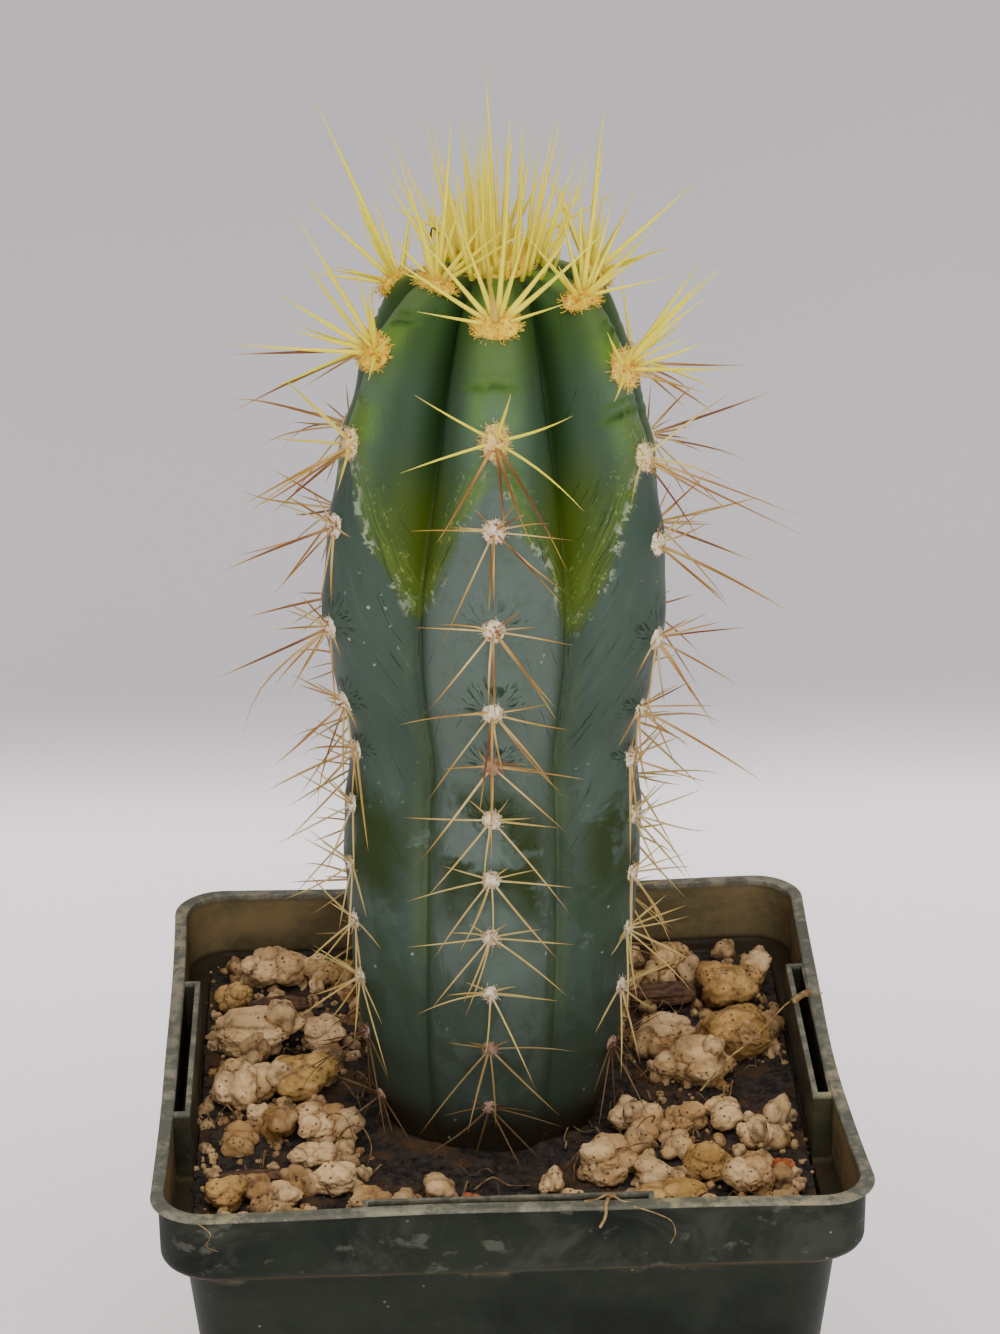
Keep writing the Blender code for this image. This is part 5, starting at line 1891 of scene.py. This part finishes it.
def bark_piece(name, low, high, chooser):
    """A flat splintered sliver that fills a solid's box."""
    shape = bmesh.new()
    bmesh.ops.create_cube(shape, size=2.0)
    bmesh.ops.subdivide_edges(shape, edges=shape.edges[:], cuts=14, use_grid_fill=True)
    offset = Vector([chooser.uniform(-60, 60) for _ in range(3)])
    size = (Vector(high) - Vector(low)) / 2
    middle = (Vector(high) + Vector(low)) / 2
    for vert in shape.verts:
        p = vert.co.copy()
        end = 1 - 0.35 * abs(p.x) ** 3
        split = noise.noise(Vector((p.x * 0.8, p.y * 6, p.z * 2)) + offset) * 0.22
        ragged = noise.noise(Vector((p.y * 5, p.z * 3, 0)) + offset) * 0.14
        p.x *= 1 + ragged
        p.y = p.y * end * (0.9 + split)
        p.z = p.z * end * (0.8 + split) + 0.15 * math.sin(p.x * 2.2)
        vert.co = middle + Vector((p.x * size.x, p.y * size.y, p.z * size.z * 0.8))
    tone = shape.verts.layers.float.new("tone")
    for vert in shape.verts:
        vert[tone] = 0.5
    return mesh_object(name, shape, math.radians(50))


# --- operators ----------------------------------------------------------------------------
class CACTUS_OT_pot(bpy.types.Operator):
    """Build the nursery pot"""

    bl_idname = "cactus.pot"
    bl_label = "Nursery pot"

    def execute(self, context):
        pot = context.scene.cactus_pot
        piece = pot_piece(pot)
        finish_piece(piece, pot_material(pot), ["pot"])
        return {"FINISHED"}


class CACTUS_OT_stem(bpy.types.Operator):
    """Grow the ribbed stem"""

    bl_idname = "cactus.stem"
    bl_label = "Stem"

    def execute(self, context):
        settings = context.scene.cactus_stem
        form = StemForm(settings)
        outline = form.outline(settings.buried, settings.rings)
        places = [(reach, 0.0, height) for reach, height in outline]
        grooves = [between(GROOVE_DEPTH, height / form.height) for _, height in outline]
        source = point_cloud("stem_outline", places, [("groove", "FLOAT", grooves)])
        material = skin_material(settings)
        values = {
            "Around": settings.around,
            "Rings": settings.rings,
            "Ribs": RIB_COUNT,
            "Sharpness": settings.sharpness,
            "Turn": settings.turn,
            "Offset": settings.offset,
            "Lean": settings.lean,
            "Base": settings.soil_level,
            "Material": material,
        }
        piece = run_field("cactus_stem", source, ribbed_column_tree(), values)
        keep_attributes(piece, set())
        shape_skin(form, settings, piece.data)
        finish_piece(piece, material, ["stem"])
        return {"FINISHED"}


class CACTUS_OT_spines(bpy.types.Operator):
    """Set the spines and wool of every rib and of the crown"""

    bl_idname = "cactus.spines"
    bl_label = "Spines and wool"

    def execute(self, context):
        settings = context.scene.cactus_spines
        form = StemForm(context.scene.cactus_stem)
        spine_look = spine_material(settings)
        wool_look = wool_material(settings)
        for rib in range(RIB_COUNT):
            chooser = random.Random(100 + rib)
            node = f"spines_rib_{rib + 1}"
            rows = spine_rows(form, settings, rib, chooser)
            needles = needle_piece(f"needles_rib_{rib + 1}", rows, settings, spine_look)
            finish_piece(needles, spine_look, [node])
            pads = []
            for age, level in form.tiers(rib):
                odd = rib == 0 and RUSTY_PAD[0] < age < RUSTY_PAD[1]
                rust = 1.0 if age > RUSTY_AGE or odd else 0.0
                pads.append((form.areole(level, rib), wool_size(age), youth_of(age), rust))
            wool = wool_piece(f"wool_rib_{rib + 1}", pads, settings, wool_look)
            finish_piece(wool, wool_look, [node])
        chooser = random.Random(99)
        rows = crown_rows(form, settings, chooser)
        needles = needle_piece("needles_crown", rows, settings, spine_look)
        finish_piece(needles, spine_look, ["crown_spines"])
        height = form.crest(len(CREST_OUTLINE) - 2.0)[0]
        tip = (form.axis(height), Vector((1, 0, 0)), Vector((0, 1, 0)), Vector((0, 0, 1)))
        place = form.axis(height) / MM
        scraps = []
        for radius, points in HUSK:
            scraps.append((radius, 0.4, [tuple(Vector(point) + place) for point in points]))
        husk = litter_piece("crown_husk", scraps)
        dark = fibre_material("dark_husk", (0.060, 0.035, 0.025), (0.012, 0.008, 0.006))
        finish_piece(husk, dark, ["crown_spines"])
        wool = wool_piece("wool_crown", [(tip, CROWN_WOOL, 1.0, 0.0)], settings, wool_look)
        finish_piece(wool, wool_look, ["crown_spines"])
        return {"FINISHED"}


class CACTUS_OT_soil(bpy.types.Operator):
    """Fill the pot with soil and strew grit, crumbs and fibres on it"""

    bl_idname = "cactus.soil"
    bl_label = "Soil and litter"

    def execute(self, context):
        soil = context.scene.cactus_soil
        pot = context.scene.cactus_pot
        form = StemForm(context.scene.cactus_stem)
        look = soil_material(soil)
        finish_piece(soil_piece(form, soil, pot), look, ["soil"])
        half = body_half(pot, form.soil) - pot.wall

        def bare(point):
            return math.hypot(point.x - form.offset, point.y) > 16.5 * MM

        def stony(point):
            return strewn_with_stones(form, point.x, point.y)

        def strew(name, tree, where, amount, least, most, material):
            values = {"Density": amount / (2 * half) ** 2, "Least": least, "Most": most}
            sheet = soil_top(name + "_sheet", form, soil, pot, where)
            return run_field(name, sheet, tree, {**values, "Material": material})

        tree = lump_tree("soil_crumbs", 1, 0.6, True)
        sizes = (0.18 * MM, 0.85 * MM)
        crumbs = strew("compost_crumbs", tree, bare, soil.crumbs, *sizes, look)
        finish_piece(crumbs, look)
        grit_look = stone_material("grit_stone", soil.pumice, (0.360, 0.190, 0.070))
        tree = lump_tree("pumice_grit", 2, 0.7, True)
        sizes = (0.30 * MM, 1.30 * MM)
        grit = strew("pumice_grit", tree, stony, soil.grit, *sizes, grit_look)
        keep_attributes(grit, {"tone", "shade_and_grime", "crease"})
        finish_piece(grit, grit_look)
        keep_attributes(crumbs, set())
        chooser = random.Random(21)

        def height_at(x, y):
            return rough_soil_height(form, soil, half, x, y)

        fibres = bmesh.new()
        for _ in range(soil.fibres):
            angle = chooser.uniform(0, 2 * math.pi)
            reach = chooser.uniform(17, 37) * MM
            start = (form.offset + reach * math.cos(angle), reach * math.sin(angle), 0)
            if max(abs(start[0]), abs(start[1])) > half - 4 * MM:
                continue
            heading = chooser.uniform(0, 2 * math.pi)
            lift = chooser.uniform(0.2, 1.4) * MM
            steps = chooser.randint(6, 14)
            points = wander(start, heading, 0.8 * MM, steps, chooser, height_at, 0.45, lift)
            points = [p for p in points if max(abs(p.x), abs(p.y)) < half - 1 * MM]
            if len(points) > 3:
                tube(fibres, points, chooser.uniform(0.08, 0.2) * MM)
        look = fibre_material("dry_root", soil.root, (0.120, 0.065, 0.030))
        finish_piece(mesh_object("root_fibres", fibres), look)
        finish_piece(litter_piece("foot_roots", FOOT_LITTER), look)
        straw = fibre_material("dry_straw", (0.500, 0.340, 0.140), (0.200, 0.110, 0.045))
        finish_piece(litter_piece("rim_straws", RIM_LITTER), straw)
        return {"FINISHED"}


class CACTUS_OT_stones(bpy.types.Operator):
    """Lay the pumice, ochre and lava lumps and the bark slivers"""

    bl_idname = "cactus.stones"
    bl_label = "Stones and bark"

    def execute(self, context):
        soil = context.scene.cactus_soil
        looks = {
            "pumice": stone_material("pumice_stone", soil.pumice, (0.390, 0.195, 0.062)),
            "ochre": stone_material("ochre_stone", soil.ochre, (0.240, 0.120, 0.035)),
            "lava": stone_material("lava_stone", soil.lava, (0.200, 0.045, 0.015)),
            "bark": fibre_material("bark_sliver", soil.bark, (0.060, 0.030, 0.018)),
        }
        slots = {row["node"]: row["material_slot"] for row in frame["record"]["subparts"]}
        taken = []
        for node in sorted(frame["nodes"]):
            if not node.startswith(("stone_", "bark_chip_")):
                continue
            low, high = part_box(node)
            chooser = random.Random(node)
            wide = max(high.x - low.x, high.y - low.y)
            if node.startswith("bark_chip_"):
                piece = bark_piece(node + "_split", low, high, chooser)
            else:
                detail = 5 if wide > 4.5 * MM else 4
                name = node + "_rough"
                piece = stone_piece(name, low, high, chooser, detail, STONE_SUNK, soil.swell)
                taken.append((low, high))
            finish_piece(piece, looks[slots[node]], [node])
        form = StemForm(context.scene.cactus_stem)
        pot = context.scene.cactus_pot
        half = body_half(pot, form.soil) - pot.wall
        lumps = nestled(form, soil, half, random.Random(8), taken)
        sizes = [("size", "FLOAT", [size for _, size in lumps])]
        source = point_cloud("lump_spots", [place for place, _ in lumps], sizes)
        tree = lump_tree("small_lumps", 3, 0.8, False)
        piece = run_field("pumice_small_lumps", source, tree, {"Material": looks["pumice"]})
        keep_attributes(piece, {"tone", "shade_and_grime", "crease"})
        finish_piece(piece, looks["pumice"])
        return {"FINISHED"}


class CACTUS_OT_stage(bpy.types.Operator):
    """Set the floor, backdrop, lights and camera"""

    bl_idname = "cactus.stage"
    bl_label = "Stage"

    def execute(self, context):
        stage = context.scene.cactus_stage
        pot = context.scene.cactus_pot
        shape = bmesh.new()
        outline = [(-1.2, 0.0), (0.0, 0.0), (stage.backdrop, 0.0)]
        curve = 0.16
        for step in range(1, 25):
            angle = step / 24 * math.pi / 2
            back = stage.backdrop + curve * math.sin(angle)
            outline.append((back, curve * (1 - math.cos(angle))))
        outline.append((stage.backdrop + curve, 1.8))
        rows = [[shape.verts.new((x, y, z)) for x in (-1.6, 1.6)] for y, z in outline]
        for first, second in zip(rows, rows[1:]):
            shape.faces.new((first[0], first[1], second[1], second[0]))
        sweep = mesh_object("stage_sweep", shape)
        if sweep.data.polygons[0].normal.z < 0:
            sweep.data.flip_normals()
        sweep.data.materials.append(sweep_material(stage))
        add_light("key_softbox", stage.key, 0.65, (0.03, -0.34, 0.92))
        add_light("front_softbox", stage.front, 0.5, (0.06, -0.95, 0.36))
        add_light("fill_left", stage.fill, 0.8, (-0.85, -0.55, 0.55))
        add_light("fill_right", stage.fill, 0.8, (0.85, -0.60, 0.50))
        world = bpy.data.worlds.new("soft_room")
        world.use_nodes = True
        world.node_tree.nodes["Background"].inputs[0].default_value = (1.0, 1.0, 1.0, 1.0)
        world.node_tree.nodes["Background"].inputs[1].default_value = stage.room
        context.scene.world = world
        context.scene.camera = make_camera(stage, pot.height)
        return {"FINISHED"}


def sweep_material(stage):
    """Pale floor turning to a grey backdrop; both glow with painted light, dimmer by the pot and up
    high.
    """
    s = Shader("stage_paper", roughness=0.9, specular=0.1)
    _, back, up = s.split(s.place)
    change = s.ramp(back, stage.backdrop - 0.020, stage.backdrop + 0.045)
    # painted light: the floor glows less by the pot and the backdrop less up high
    nearer = s.ramp(back, 0.05, 0.24)
    higher = s.ramp(up, 0.0, 0.12) * -0.3
    grain = s.noise(s.place, 60, 2.0, 0.5)
    base = s.mix(change, stage.floor, stage.wall)
    base = s.mix(grain * 0.03, base, (0.5, 0.5, 0.5))
    floor_painted_light = nearer * 0.52 + stage.floor_painted_light
    wall_painted_light = higher + stage.wall_painted_light
    glow = change * (wall_painted_light - floor_painted_light) + floor_painted_light
    s.put(s.principled.inputs["Emission Color"], base)
    s.put(s.principled.inputs["Emission Strength"], glow)
    # seen from behind, the backdrop is clear, so that it never hides the cactus
    clear = s.add("ShaderNodeBsdfTransparent")
    back_side = s.add("ShaderNodeNewGeometry").outputs["Backfacing"]
    sheet = s.add("ShaderNodeMixShader", back_side, s.principled, clear)
    s.put(s.tree.nodes["Material Output"].inputs["Surface"], sheet)
    return s.done(base)


def add_light(name, power, size, place):
    """A square softbox aimed at the middle of the stem."""
    data = bpy.data.lights.new(name, "AREA")
    data.energy = power
    data.shape = "SQUARE"
    data.size = size
    lamp = link(bpy.data.objects.new(name, data))
    lamp.location = place
    lamp.visible_camera = False
    lamp.rotation_euler = (Vector((0, 0, 0.1)) - Vector(place)).to_track_quat("-Z", "Y").to_euler()
    return lamp


def make_camera(stage, rim):
    """The camera, aimed from its pitch, yaw and roll past the middle of the lip."""
    forward = Vector(
        (
            math.sin(stage.yaw) * math.cos(stage.pitch),
            math.cos(stage.yaw) * math.cos(stage.pitch),
            -math.sin(stage.pitch),
        )
    )
    right = Vector((math.cos(stage.yaw), -math.sin(stage.yaw), 0.0))
    up = right.cross(forward)
    turned_right = right * math.cos(stage.roll) + up * math.sin(stage.roll)
    turned_up = up * math.cos(stage.roll) - right * math.sin(stage.roll)
    place = turned_right * stage.shift_right + turned_up * stage.shift_up - forward * stage.distance
    place.z += rim
    data = bpy.data.cameras.new("camera")
    data.sensor_fit = "VERTICAL"
    data.sensor_height = 36.0
    data.lens = stage.lens
    data.clip_start = 0.01
    camera = link(bpy.data.objects.new("camera", data))
    turn = Matrix((turned_right, turned_up, -forward)).transposed()
    camera.matrix_world = Matrix.Translation(place) @ turn.to_4x4()
    return camera


class CACTUS_PT_panel(bpy.types.Panel):
    """The cactus's operators"""

    bl_idname = "CACTUS_PT_panel"
    bl_label = "Potted cactus"
    bl_space_type = "VIEW_3D"
    bl_region_type = "UI"
    bl_category = "Cactus"

    def draw(self, context):
        for operator in OPERATORS:
            self.layout.operator(operator.bl_idname)


SETTINGS = {
    "cactus_pot": CactusPotSettings,
    "cactus_stem": CactusStemSettings,
    "cactus_spines": CactusSpineSettings,
    "cactus_soil": CactusSoilSettings,
    "cactus_stage": CactusStageSettings,
}
OPERATORS = (
    CACTUS_OT_pot,
    CACTUS_OT_soil,
    CACTUS_OT_stem,
    CACTUS_OT_spines,
    CACTUS_OT_stones,
    CACTUS_OT_stage,
)
CLASSES = (*SETTINGS.values(), *OPERATORS, CACTUS_PT_panel)


def register():
    """Adds the classes and their settings."""
    for kind in CLASSES:
        bpy.utils.register_class(kind)
    for name, kind in SETTINGS.items():
        setattr(bpy.types.Scene, name, PointerProperty(type=kind))


def unregister():
    """Removes them again."""
    for name in SETTINGS:
        delattr(bpy.types.Scene, name)
    for kind in reversed(CLASSES):
        bpy.utils.unregister_class(kind)


def main():
    """Builds everything."""
    register()
    bpy.ops.cactus.pot()
    bpy.ops.cactus.soil()
    bpy.ops.cactus.stem()
    bpy.ops.cactus.spines()
    bpy.ops.cactus.stones()
    bpy.ops.cactus.stage()


if __name__ == "__main__":
    main()
